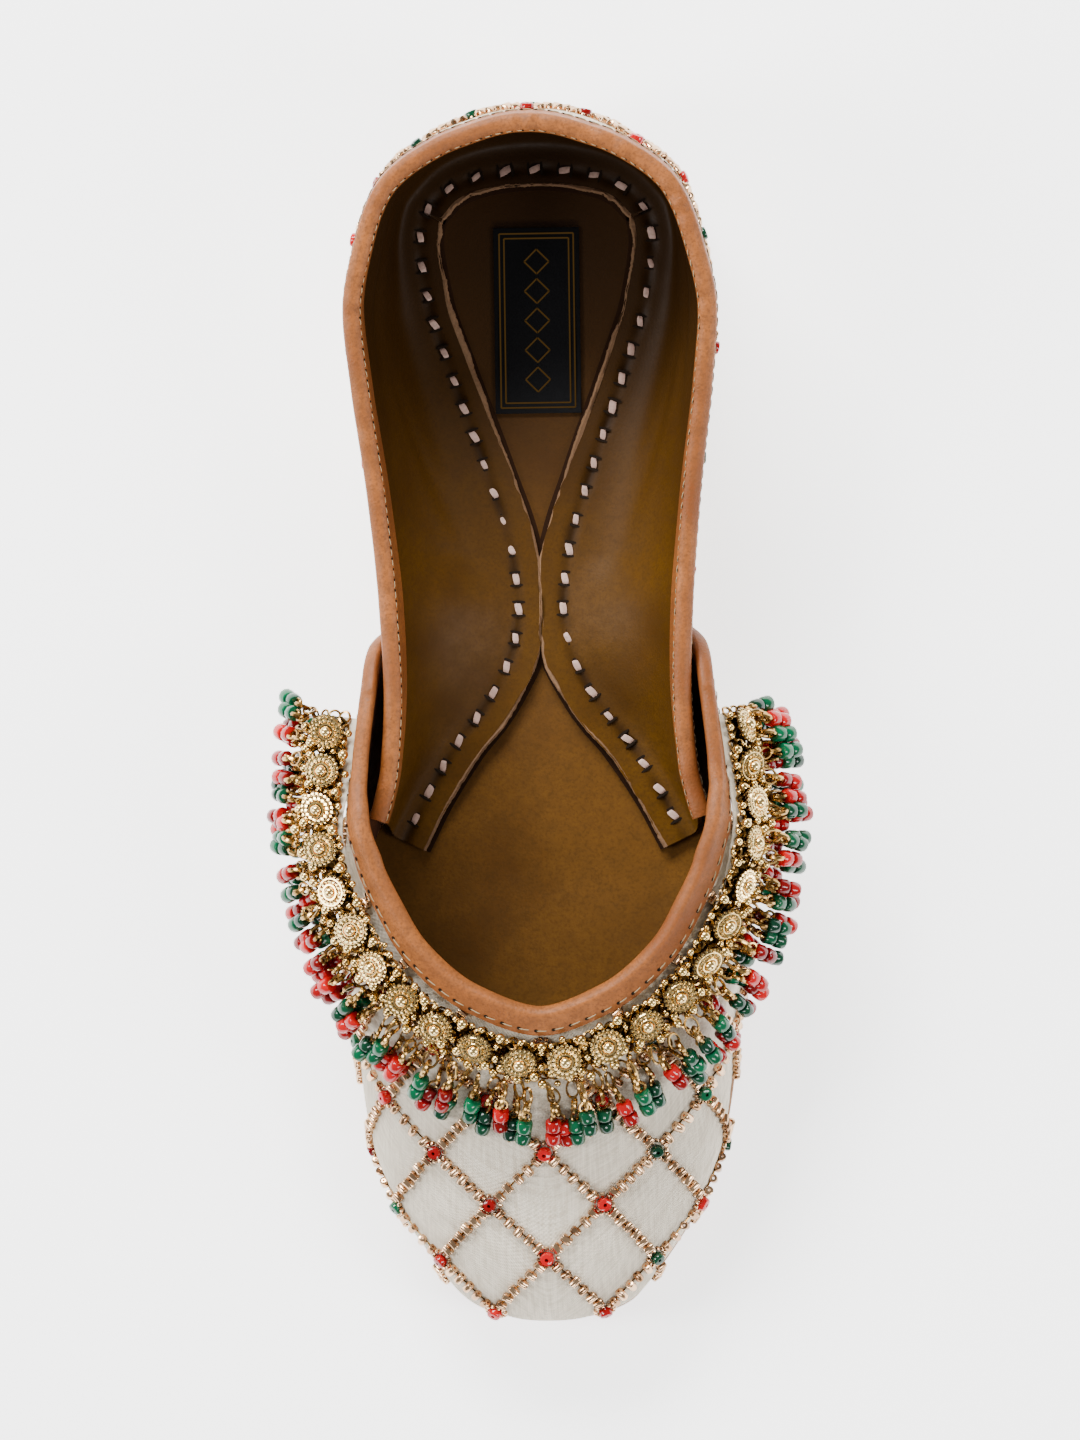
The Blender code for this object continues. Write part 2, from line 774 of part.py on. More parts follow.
def block_mesh(name, rings):
    """A small closed block through rings of points, capped at both ends."""
    shape = bmesh.new()
    rows = [[shape.verts.new(point) for point in ring] for ring in rings]
    grid_faces(shape, rows, closed=True)
    shape.faces.new(rows[0])
    shape.faces.new(rows[-1])
    bmesh.ops.recalc_face_normals(shape, faces=shape.faces)
    made = bpy.data.meshes.new(name)
    shape.to_mesh(made)
    shape.free()
    return made


def make_rosette_chain(collection, cutters):
    """A lace band round the throat with a row of domed rosettes fused on."""
    sections = []
    for share in turns_between(0.0, 1.0, TRIM_STEPS):
        sections.append([
            chain_place(share, 0.0, 0.0),
            chain_place(share, CHAIN_WIDTH, 0.0),
            chain_place(share, CHAIN_WIDTH, CHAIN_THICKNESS),
            chain_place(share, 0.0, CHAIN_THICKNESS),
        ])
    band = sweep("rosette_chain", collection, "gold_metal", sections)
    rosettes = []
    for i in range(ROSETTES):
        share = (i + 0.5) / ROSETTES
        centre = chain_place(share, CHAIN_WIDTH / 2, 0.0)
        face = (chain_place(share, CHAIN_WIDTH / 2, 1.0) - centre).normalized()
        inwards = (chain_place(share, 0.0, 0.0) - centre).normalized()
        sideways = face.cross(inwards).normalized()
        rings = []
        for size, rise in ROSETTE_RINGS:
            height = CHAIN_THICKNESS + ROSETTE_HEIGHT * rise
            ring = []
            for k in range(ROSETTE_SIDES):
                angle = 2 * math.pi * k / ROSETTE_SIDES
                spoke = inwards * math.cos(angle) + sideways * math.sin(angle)
                ring.append(centre + spoke * size * ROSETTE_DIAMETER / 2 + face * height)
            rings.append(ring)
        rosettes.append(block_mesh("rosette", rings))
    fused("rosette_chain", collection, cutters, band, rosettes)


def make_bead_fringe(collection, cutters):
    """A row of dangles along the chain's outer edge, as locks fused to one header."""
    sections = []
    for share in turns_between(0.0, 1.0, TRIM_STEPS):
        sections.append([
            fringe_place(share, 0.0, 0.0),
            fringe_place(share, FRINGE_HEADER, 0.0),
            fringe_place(share, FRINGE_HEADER, CHAIN_THICKNESS),
            fringe_place(share, 0.0, CHAIN_THICKNESS),
        ])
    header = sweep("bead_fringe", collection, "glass_beads", sections)
    locks = []
    for i in range(LOCKS):
        share = (i + 0.5) / LOCKS
        side = fringe_place(share + 0.4 / LOCKS, 0.0, 0.0) - fringe_place(share - 0.4 / LOCKS, 0.0, 0.0)
        side.normalize()
        rings = []
        for reach, width, low, high in LOCK_RINGS:
            half = side * LOCK_WIDTH * width / 2
            bottom = fringe_place(share, reach * FRINGE_LENGTH, CHAIN_THICKNESS * low)
            top = fringe_place(share, reach * FRINGE_LENGTH, CHAIN_THICKNESS * high)
            rings.append([bottom - half, bottom + half, top + half, top - half])
        locks.append(block_mesh("lock", rings))
    fused("bead_fringe", collection, cutters, header, locks)


def make_heel_label(collection):
    """A small bare patch on the insole under the heel."""
    middle = SOLE_MIDDLE + SOLE_LENGTH * (0.5 - LABEL_CENTRE)
    half = LABEL_WIDTH / 2
    sections = []
    for place in turns_between(middle - LABEL_LENGTH / 2, middle + LABEL_LENGTH / 2, 8):
        low = insole_top(turn_of(0.5 - (place - SOLE_MIDDLE) / SOLE_LENGTH)) + GAP
        high = low + LABEL_THICKNESS
        sections.append([
            Vector((-half, place, low)),
            Vector((half, place, low)),
            Vector((half, place, high)),
            Vector((-half, place, high)),
        ])
    sweep("heel_label", collection, "black_leather", sections)


def main():
    clear_scene()
    collection = new_collection("mojari")
    cutters = new_collection("mojari_cutters")
    make_sole(collection)
    make_quarter(collection)
    make_vamp(collection)
    make_collar_binding(collection)
    make_vamp_binding(collection)
    make_rosette_chain(collection, cutters)
    make_bead_fringe(collection, cutters)
    make_heel_label(collection)


main()
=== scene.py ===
# %% [markdown]
# # A mojari, dressed cell by cell
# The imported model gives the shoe's solids at their real size. This lesson gives each of them the surface
# that a shoemaker and an embroiderer would: leather, cloth, thong stitches, a lattice of seed beads, and a
# gold chain of rosettes with a fringe of glass beads. Everything is in metres, +Z up, toe towards -Y.

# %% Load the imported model
import json
import math

import bmesh
import bpy
import numpy as np
from mathutils import Matrix, Vector

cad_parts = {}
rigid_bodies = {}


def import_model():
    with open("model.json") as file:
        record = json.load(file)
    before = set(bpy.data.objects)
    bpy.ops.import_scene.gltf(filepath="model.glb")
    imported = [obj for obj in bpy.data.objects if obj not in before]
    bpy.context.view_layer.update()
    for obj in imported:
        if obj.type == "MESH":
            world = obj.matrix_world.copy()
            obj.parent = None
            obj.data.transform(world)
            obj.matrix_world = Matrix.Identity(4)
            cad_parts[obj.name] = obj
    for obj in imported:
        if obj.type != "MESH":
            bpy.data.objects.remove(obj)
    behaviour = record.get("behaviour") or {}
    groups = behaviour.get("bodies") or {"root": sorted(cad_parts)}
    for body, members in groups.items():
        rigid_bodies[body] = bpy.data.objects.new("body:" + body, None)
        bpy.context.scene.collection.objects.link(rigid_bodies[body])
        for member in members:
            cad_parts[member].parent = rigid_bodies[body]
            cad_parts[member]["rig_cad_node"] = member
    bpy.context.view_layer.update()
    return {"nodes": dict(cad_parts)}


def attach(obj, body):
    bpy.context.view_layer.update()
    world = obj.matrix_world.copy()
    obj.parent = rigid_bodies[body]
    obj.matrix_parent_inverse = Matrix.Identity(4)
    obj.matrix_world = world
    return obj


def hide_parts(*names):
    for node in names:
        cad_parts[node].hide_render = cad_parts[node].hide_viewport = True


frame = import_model()
chance = np.random.default_rng(7)
print("nodes:", ", ".join(sorted(frame["nodes"])))

# %% [markdown]
# ## The sizes that shape the shoe
# The real shoe is cut on a last. Its shape could be sculpted freely, but then stitches, beads and bindings
# would float off it. Here the same sizes and short tables that made the solids are written once more, so
# every later cell can ask for a point on the leather.

# %% Driving sizes, in metres
SOLE_LENGTH = 0.250
HALF = {"ball": 0.0410, "waist": 0.0106, "heel": 0.0320, "collar": 0.0373, "opening": 0.0308}
HEEL_PIECE_THICKNESS = 0.0024
HEEL_PIECE_REACH = 0.183
OUTSOLE_THICKNESS = 0.0026
MIDSOLE_THICKNESS = 0.0014
INSOLE_THICKNESS = 0.0012
RAND_STANDS_OUT = 0.0006
GAP = 0.0003
LAP_GAP = 0.0005
UPPER_SIZES = {"back": 0.0455, "side": 0.0270, "instep": 0.0335}
SOLE_SIZES = {"heel_base": HEEL_PIECE_THICKNESS + GAP, "arch": 0.0046, "spring": 0.0040}
HEEL_BULGE = 0.0029
UPPER_INSET = 0.0020
QUARTER_WALL = 0.0016
VAMP_WALL = 0.0018
EAR_STANDS_OFF = 0.0034
FLANGE_WIDTH = 0.0078
QUARTER_ENDS = 0.585
FOOT_SLOPE = 0.35
BINDING_LEATHER = 0.0009
BINDING_ENDS = 0.975
TRIM_ENDS = 0.60
TRIM_SMOOTHING = 0.08
CHAIN_WIDTH = 0.0080
ROSETTES = 22
SOLE_MIDDLE = (RAND_STANDS_OUT - HEEL_BULGE) / 2
SMALL_STEP = 0.005
NEVER_ZERO = 1e-12
FINE_GAP = 1e-6
LENGTHWISE_SAY = 0.2
LOWEST_RISE = 0.001

# %% Tables: share of length from the heel, the size followed, share of it
SOLE_OUTLINE = (
    (0.009, "heel", 0.50), (0.021, "heel", 0.70), (0.036, "heel", 0.83), (0.060, "heel", 0.96),
    (0.093, "heel", 1.00), (0.150, "heel", 0.935), (0.216, "heel", 0.765), (0.298, "heel", 0.533),
    (0.361, "waist", 1.13), (0.405, "waist", 1.00), (0.426, "waist", 1.07), (0.450, "waist", 1.33),
    (0.470, "ball", 0.420), (0.496, "ball", 0.551), (0.562, "ball", 0.800), (0.622, "ball", 0.950),
    (0.695, "ball", 1.000), (0.773, "ball", 0.961), (0.852, "ball", 0.885), (0.900, "ball", 0.773),
    (0.948, "ball", 0.593), (0.972, "ball", 0.476), (0.984, "ball", 0.405),
)
WIDEST_LINE = (
    (0.009, "collar", 0.30), (0.020, "collar", 0.49), (0.058, "collar", 0.81), (0.106, "collar", 0.93),
    (0.165, "collar", 1.00), (0.226, "collar", 0.968), (0.322, "collar", 0.890), (0.420, "opening", 1.013),
    (0.480, "opening", 0.995), (0.540, "opening", 1.025), (0.570, "opening", 1.075), (0.600, "ball", 0.868),
    (0.630, "ball", 0.925), (0.695, "ball", 0.950), (0.773, "ball", 0.905), (0.852, "ball", 0.842),
    (0.900, "ball", 0.735), (0.948, "ball", 0.550), (0.984, "ball", 0.372),
)
WIDEST_HEIGHT = (
    (0.000, "back", 1.00), (0.060, "back", 0.975), (0.120, "back", 0.925), (0.200, "back", 0.820),
    (0.300, "back", 0.670), (0.400, "side", 0.985), (0.500, "side", 1.000), (0.580, "side", 1.020),
    (0.625, "instep", 0.580), (0.656, "instep", 0.430), (0.700, "instep", 0.310), (0.757, "instep", 0.225),
    (0.820, "instep", 0.180), (0.900, "instep", 0.140), (0.950, "instep", 0.108), (1.000, "instep", 0.000),
)
RIDGE_HEIGHT = (
    (0.000, "instep", 2.40), (0.450, "instep", 1.70), (0.580, "instep", 1.60), (0.625, "instep", 1.46),
    (0.656, "instep", 1.37), (0.700, "instep", 1.20), (0.757, "instep", 1.00), (0.800, "instep", 0.84),
    (0.850, "instep", 0.655), (0.900, "instep", 0.49), (0.950, "instep", 0.355), (0.980, "instep", 0.245),
    (1.000, "instep", 0.00),
)
SOLE_UNDERSIDE = (
    (0.000, "heel_base", 1.0), (HEEL_PIECE_REACH + 0.012, "heel_base", 1.0), (0.300, "arch", 0.92),
    (0.400, "arch", 1.00), (0.500, "arch", 0.62), (0.580, "arch", 0.20), (0.640, "arch", 0.00),
    (0.800, "spring", 0.00), (0.850, "spring", 0.08), (0.900, "spring", 0.28), (0.950, "spring", 0.60),
    (1.000, "spring", 1.00),
)
HEEL_CURVE = ((0.0, -0.45), (0.25, 0.55), (0.50, 1.00), (0.75, 0.72), (1.0, -0.20))
VAMP_EDGE = (
    (0.000, 0.4035, 0.00), (0.160, 0.4180, 0.45), (0.270, 0.4400, 0.80), (0.330, 0.4640, 0.94),
    (0.400, 0.5000, 1.00), (0.500, 0.5620, 1.03), (0.600, 0.6130, 1.24), (0.690, 0.6520, 1.38),
    (0.790, 0.6950, 1.53), (0.900, 0.7370, 1.75), (1.000, 0.7570, 2.00),
)
EARS = (
    (0.300, 0.00), (0.415, 0.00), (0.442, 0.40), (0.470, 0.62), (0.500, 0.85), (0.540, 1.00),
    (0.585, 0.80), (0.620, 0.40), (0.670, 0.00),
)
EARS_UP = ((0.0, 0.0), (0.40, 0.0), (0.82, 1.0), (1.05, 1.0), (1.6, 0.0))
LAP_LIFT = ((0.360, 0.0), (0.405, 1.0), (0.570, 1.0), (0.640, 0.0))
TRIM_LAY = (
    (0.0, 18, 63), (0.2, 20, 56), (0.4, 25, 34), (0.5, 25, 27), (0.6, 27, 30), (0.8, 46, 44), (1.0, 57, 48),
)

# %% [markdown]
# ## The form as a function
# One function answers for the whole shoe: give it a turn round the outline (0 at the heel, pi at the toe)
# and a rise up the wall (0 at the sole, 1 at the widest line, 2 on the ridge over the foot). Numpy arrays
# make it quick enough for surfaces of thirty thousand points.

# %% Smooth curves through the tables
def smooth_curve(rows):
    """A curve through (place, value) rows that never overshoots them."""
    places = np.array([row[0] for row in rows], float)
    values = np.array([row[1] for row in rows], float)
    slopes = np.diff(values) / np.diff(places)
    inner = [2 * a * b / (a + b) if a * b > 0 else 0.0 for a, b in zip(slopes, slopes[1:])]
    tangents = np.array([slopes[0], *inner, slopes[-1]])

    def value(place):
        place = np.clip(place, places[0], places[-1])
        i = np.clip(np.searchsorted(places, place, side="right") - 1, 0, len(slopes) - 1)
        width = places[i + 1] - places[i]
        t = (place - places[i]) / width
        first = values[i] * (1 + 2 * t) * (1 - t) ** 2 + tangents[i] * width * t * (1 - t) ** 2
        return first + values[i + 1] * t * t * (3 - 2 * t) + tangents[i + 1] * width * t * t * (t - 1)

    return value


def turn_of(along):
    return np.arccos(1 - 2 * np.clip(along, 0.0, 1.0))


def along_of(turn):
    return (1 - np.cos(turn)) / 2


def outline_curve(rows):
    placed = [(turn_of(along), HALF[size] * share) for along, size, share in rows]
    return smooth_curve([(0.0, 0.0), *placed, (math.pi, 0.0)])


def height_curve(rows, sizes):
    return smooth_curve([(turn_of(along), sizes[size] * share) for along, size, share in rows])


sole_half = outline_curve(SOLE_OUTLINE)
widest_half = outline_curve(WIDEST_LINE)
widest_height = height_curve(WIDEST_HEIGHT, UPPER_SIZES)
ridge_height = height_curve(RIDGE_HEIGHT, UPPER_SIZES)
underside_curve = height_curve(SOLE_UNDERSIDE, SOLE_SIZES)
heel_curve = smooth_curve([(share, HEEL_BULGE * bulge) for share, bulge in HEEL_CURVE])
ears = smooth_curve([(along, EAR_STANDS_OFF * share) for along, share in EARS])
ears_up = smooth_curve(EARS_UP)
lap_lift = smooth_curve([(along, (VAMP_WALL + LAP_GAP) * share) for along, share in LAP_LIFT])
vamp_edge_along = smooth_curve([(row[0], row[1]) for row in (*VAMP_EDGE, (1.10, *VAMP_EDGE[-2][1:]))])
vamp_edge_rise = smooth_curve([(row[0], row[2]) for row in VAMP_EDGE])
chain_slope = smooth_curve([(row[0], math.radians(row[1])) for row in TRIM_LAY])
fringe_slope = smooth_curve([(row[0], math.radians(row[2])) for row in TRIM_LAY])
print("widest half of the sole, mm:", round(float(sole_half(turn_of(0.695))) * 1000, 1))


# %% Heights of the layers and the form itself
def underside(turn):
    return underside_curve(np.abs(turn))


def outsole_top(turn):
    return underside(turn) + OUTSOLE_THICKNESS


def midsole_top(turn):
    return outsole_top(turn) + GAP + MIDSOLE_THICKNESS


def insole_top(turn):
    return midsole_top(turn) + GAP + INSOLE_THICKNESS


def on_insole(turn):
    return insole_top(turn) + GAP


def unit(vectors):
    return vectors / np.maximum(np.linalg.norm(vectors, axis=-1, keepdims=True), NEVER_ZERO)


def side_of(turn):
    return np.where(turn < 0, -1.0, 1.0)


def form(turn, rise):
    """Points on the form: the outer face of the quarter."""
    turn, rise = np.broadcast_arrays(np.asarray(turn, float), np.asarray(rise, float))
    size = np.abs(turn)
    foot_half = sole_half(size) * (1 - UPPER_INSET / HALF["ball"])
    wide_half = widest_half(size)
    foot_height = on_insole(size) + lap_lift(along_of(size))
    wide_height = on_insole(size) + widest_height(size)
    top_height = on_insole(size) + np.maximum(ridge_height(size), widest_height(size))
    lower = math.pi / 2 * np.minimum(rise, 1.0)
    upper = math.pi / 2 * np.maximum(rise - 1.0, 0.0)
    half = (foot_half + (wide_half - foot_half) * np.sin(lower)) * np.cos(upper)
    climb = FOOT_SLOPE * np.minimum(rise, 1.0) + (1 - FOOT_SLOPE) * (1 - np.cos(lower))
    height = foot_height + (wide_height - foot_height) * climb + (top_height - wide_height) * np.sin(upper)
    heel_end = SOLE_MIDDLE + SOLE_LENGTH / 2 + heel_curve((height - foot_height) / UPPER_SIZES["back"])
    toe_end = SOLE_MIDDLE - SOLE_LENGTH / 2 + UPPER_INSET
    forward = (heel_end + toe_end) / 2 + (heel_end - toe_end) / 2 * np.cos(turn)
    return np.stack([half * side_of(turn), forward, height], -1)


def form_normal(turn, rise):
    turn, rise = np.broadcast_arrays(np.asarray(turn, float), np.asarray(rise, float))
    low = np.maximum(rise - SMALL_STEP, 0.0)
    around = form(turn + SMALL_STEP, rise) - form(turn - SMALL_STEP, rise)
    up = form(turn, low + 2 * SMALL_STEP) - form(turn, low)
    at_toe = np.abs(turn) > math.pi - 2 * SMALL_STEP
    return np.where(at_toe[..., None], np.array((0.0, -1.0, 0.0)), unit(np.cross(up, around)))


def form_point(turn, rise, out=0.0):
    return form(turn, rise) + form_normal(turn, rise) * np.asarray(out, float)[..., None]


def outline_point(turn, out, height):
    """Points on the sole's outline, moved out across it, at a height."""
    turn = np.asarray(turn, float)

    def flat(t):
        return np.stack([sole_half(np.abs(t)) * side_of(t), SOLE_MIDDLE + SOLE_LENGTH / 2 * np.cos(t)], -1)

    edge = flat(turn + SMALL_STEP) - flat(turn - SMALL_STEP)
    edge = np.where((np.abs(turn) > math.pi - SMALL_STEP)[..., None], np.array((1.0, 0.0)), edge)
    outwards = unit(np.stack([-edge[..., 1], edge[..., 0]], -1))
    middle = flat(turn)
    by_width = outwards[..., 0] * middle[..., 0]
    by_length = outwards[..., 1] * (middle[..., 1] - SOLE_MIDDLE) * LENGTHWISE_SAY
    away = np.where(by_width + by_length < 0, -1.0, 1.0)
    place = middle + outwards * away[..., None] * np.asarray(out, float)[..., None]
    return np.concatenate([place, np.broadcast_to(height, turn.shape)[..., None]], -1)


# %% Moving about on the form
def slide(turn, rise, move):
    """The turn and rise reached by a small move along the form's face."""
    by_turn = (form(turn + SMALL_STEP, rise) - form(turn - SMALL_STEP, rise)) / (2 * SMALL_STEP)
    by_rise = (form(turn, rise + SMALL_STEP) - form(turn, rise - SMALL_STEP)) / (2 * SMALL_STEP)
    both = (by_turn * by_rise).sum(-1)
    turn_size, rise_size = (by_turn**2).sum(-1), (by_rise**2).sum(-1)
    spread = turn_size * rise_size - both * both
    turn_part, rise_part = (by_turn * move).sum(-1), (by_rise * move).sum(-1)
    turn = turn + (turn_part * rise_size - rise_part * both) / spread
    return turn, rise + (rise_part * turn_size - turn_part * both) / spread


def vamp_lift(turn, rise):
    return LAP_GAP + ears(along_of(turn)) * ears_up(rise)


def lifted(place, out):
    return form_point(*place, vamp_lift(*place) + out)


def hanging_edge(across):
    """The line that the chain hangs from, over the foot from across = -1 to 1."""
    turn = turn_of(vamp_edge_along(1 - np.abs(across)))
    return np.where(across < 0, -turn, turn), vamp_edge_rise(1 - np.abs(across))


def way_past(across, edge):
    """The way out past an edge, along the wall."""
    ahead = lifted(edge(np.minimum(across + SMALL_STEP, 1.0)), 0.0)
    behind = lifted(edge(np.maximum(across - SMALL_STEP, -1.0)), 0.0)
    return unit(np.cross(form_normal(*edge(across)), ahead - behind))


# %% The vamp as a function: across runs over the foot from -1 to 1, forward from its edge to the toe
# The vamp's own edge lies behind the chain's line, by as much binding as shows there
BINDING_SHOWS = (
    (0.0, 0.0044), (0.20, 0.0046), (0.36, 0.0050), (0.46, 0.0042), (0.56, 0.0022), (0.66, 0.0004),
    (0.74, 0.0), (1.0, 0.0),
)
binding_shows = smooth_curve(BINDING_SHOWS)
MOVES = 4
half_way = np.linspace(0.0, 1.0, 241)
own_turns, own_rises = hanging_edge(half_way)
one_move = way_past(half_way, hanging_edge) * binding_shows(half_way)[:, None] / MOVES
for _ in range(MOVES):
    own_turns, own_rises = slide(own_turns, own_rises, one_move)
own_rises = np.minimum(own_rises, 2.0)


def vamp_place(across, forward):
    across, forward = np.broadcast_arrays(np.asarray(across, float), np.asarray(forward, float))
    share = 1 - np.abs(across)
    turn = np.interp(np.abs(across), half_way, own_turns)
    turn = turn + (math.pi - turn) * forward
    rise = np.interp(np.abs(across), half_way, own_rises)
    rise = rise + (2 * share - rise) * forward
    return np.where(across < 0, -turn, turn), rise


def vamp_point(across, forward, out):
    turn, rise = vamp_place(across, forward)
    point = lifted((turn, rise), out)
    point[..., 2] = np.where(rise < LOWEST_RISE, on_insole(turn), point[..., 2])
    return point


def beside_edge(across, down, out):
    """Points this far down the vamp's wall, square to its edge, and off its inner face."""
    across = np.asarray(across, float)

    def edge(place):
        return vamp_place(place, 0.0)

    move = way_past(across, edge) * -np.asarray(down, float)[..., None]
    return lifted(slide(*edge(across), move), out)


# %% The trim's frame round the throat
FACING_TOP = VAMP_WALL + LAP_GAP + BINDING_LEATHER


def trim_root(across):
    return lifted(hanging_edge(across), FACING_TOP + GAP)


def even_spacing(steps=200):
    acrosses = np.linspace(-TRIM_ENDS, TRIM_ENDS, steps + 1)
    run = np.concatenate([[0.0], np.linalg.norm(np.diff(trim_root(acrosses), axis=0), axis=1).cumsum()])
    return lambda share: np.interp(share, run / run[-1], acrosses)


trim_across = even_spacing()


def trim_frame(share):
    across = trim_across(share)
    ahead = trim_root(np.minimum(across + TRIM_SMOOTHING, TRIM_ENDS + TRIM_SMOOTHING / 2))
    behind = trim_root(np.maximum(across - TRIM_SMOOTHING, -TRIM_ENDS - TRIM_SMOOTHING / 2))
    flat = np.stack([ahead[..., 1] - behind[..., 1], behind[..., 0] - ahead[..., 0], 0 * across], -1)
    return trim_root(across), unit(flat)


def hanging(outwards, slope, part):
    """Along a strip that slopes under the level (part 'along'), or square off its face (part 'off')."""
    level, fall = np.cos(slope)[..., None], np.sin(slope)[..., None]
    z = np.array((0.0, 0.0, 1.0))
    return outwards * level - z * fall if part == "along" else outwards * fall + z * level


def chain_place(share, reach, lift):
    share = np.asarray(share, float)
    root, outwards = trim_frame(share)
    slope = chain_slope(share)
    along, off = hanging(outwards, slope, "along"), hanging(outwards, slope, "off")
    return root + along * np.asarray(reach)[..., None] + off * np.asarray(lift)[..., None]


def fringe_place(share, reach, lift):
    share = np.asarray(share, float)
    outwards = trim_frame(share)[1]
    slope = fringe_slope(share)
    along, off = hanging(outwards, slope, "along"), hanging(outwards, slope, "off")
    start = chain_place(share, CHAIN_WIDTH + 2 * GAP, 0.0 * share)
    return start + along * np.asarray(reach)[..., None] + off * np.asarray(lift)[..., None]


print("trim round the throat, mm:", np.round(trim_root(np.array([-0.6, 0.0, 0.6])) * 1000, 1).tolist())

# %% [markdown]
# ## Turning grids of points into leather and cloth
# A sheet of leather is a grid of points on its visible face and a second grid a little behind it, joined
# round the border. A Solidify modifier could add the thickness, but here the second face must stop short
# of the neighbour behind it, so both are worked out. Each sheet also gets a UV map measured in metres,
# which later lets the weave follow the cloth.


# %% Mesh helpers
def grid_quads(rows, columns, start=0, ring=False):
    quads = []
    for r in range(rows - 1):
        for c in range(columns if ring else columns - 1):
            a = start + r * columns + c
            b = start + r * columns + (c + 1) % columns
            quads.append((a, b, b + columns, a + columns))
    return quads


def add_mesh(name, points, faces, finish, sharp_over=50):
    """A linked mesh object with one finish, its faces turned outwards."""
    data = bpy.data.meshes.new(name)
    data.from_pydata(np.asarray(points, float).reshape(-1, 3).tolist(), [], faces)
    shape = bmesh.new()
    shape.from_mesh(data)
    bmesh.ops.recalc_face_normals(shape, faces=shape.faces)
    shape.to_mesh(data)
    shape.free()
    if finish:
        data.materials.append(finish)
    data.shade_smooth()
    data.set_sharp_from_angle(angle=math.radians(sharp_over))
    piece = bpy.data.objects.new(name, data)
    bpy.context.scene.collection.objects.link(piece)
    return piece


def grid_normals(grid):
    return unit(np.cross(np.gradient(grid, axis=1), np.gradient(grid, axis=0)))


def run_along(grid, axis):
    steps = np.linalg.norm(np.diff(grid, axis=axis), axis=-1)
    first = np.zeros_like(np.take(steps, [0], axis=axis))
    return np.concatenate([first, steps.cumsum(axis=axis)], axis=axis)


def sheet(name, face, finish, back):
    """A closed sheet between two grids of points, with a UV map in metres over both faces."""
    rows, columns = face.shape[:2]
    count = rows * columns
    faces = grid_quads(rows, columns) + grid_quads(rows, columns, count)
    border = [(r * columns + c, (r + 1) * columns + c) for r in range(rows - 1) for c in (0, columns - 1)]
    border += [(r * columns + c, r * columns + c + 1) for c in range(columns - 1) for r in (0, rows - 1)]
    faces += [(a, b, b + count, a + count) for a, b in border]
    piece = add_mesh(name, np.concatenate([face.reshape(-1, 3), back.reshape(-1, 3)]), faces, finish)
    across = run_along(face, 1)
    uv = np.stack([across - across[:, columns // 2][:, None], run_along(face, 0)], -1).reshape(-1, 2)
    uv = np.concatenate([uv, uv])
    layer = piece.data.uv_layers.new(name="cut")
    corners = np.zeros(len(piece.data.loops), np.int32)
    piece.data.loops.foreach_get("vertex_index", corners)
    layer.data.foreach_set("uv", uv[corners].ravel())
    return piece


def bar_faces(count, around, start=0):
    """Quads round a bar of equal sections, and a cap at each end."""
    last = start + (count - 1) * around
    caps = [tuple(range(start, start + around)), tuple(range(last, last + around))]
    return grid_quads(count, around, start, ring=True) + caps


def strip(name, sections, finish):
    """A closed bar through sections of equal count, capped at both ends."""
    return add_mesh(name, sections, bar_faces(*sections.shape[:2]), finish, sharp_over=60)


def rounded_rows(rows, count):
    """A soft curve through rows of points (a cubic B-spline down the first axis)."""
    padded = np.concatenate([rows[:1], rows[:1], rows, rows[-1:], rows[-1:]])
    places = np.linspace(0.0, len(padded) - 3 - FINE_GAP, count)
    i = places.astype(int)
    t = (places - i)[:, None, None]
    weights = (
        (1 - t) ** 3 / 6,
        (3 * t**3 - 6 * t**2 + 4) / 6,
        (-3 * t**3 + 3 * t**2 + 3 * t + 1) / 6,
        t**3 / 6,
    )
    return sum(weight * padded[i + k] for k, weight in enumerate(weights))


# %% [markdown]
# ## Finishes
# Leather, cloth, gold and glass are all the same shader with different numbers, and what tells them apart
# is their small relief: pebbles and creases in leather, threads in cloth. An image could paint that, but
# noise and sine waves stay sharp at any distance. A small class keeps each recipe to a few lines.


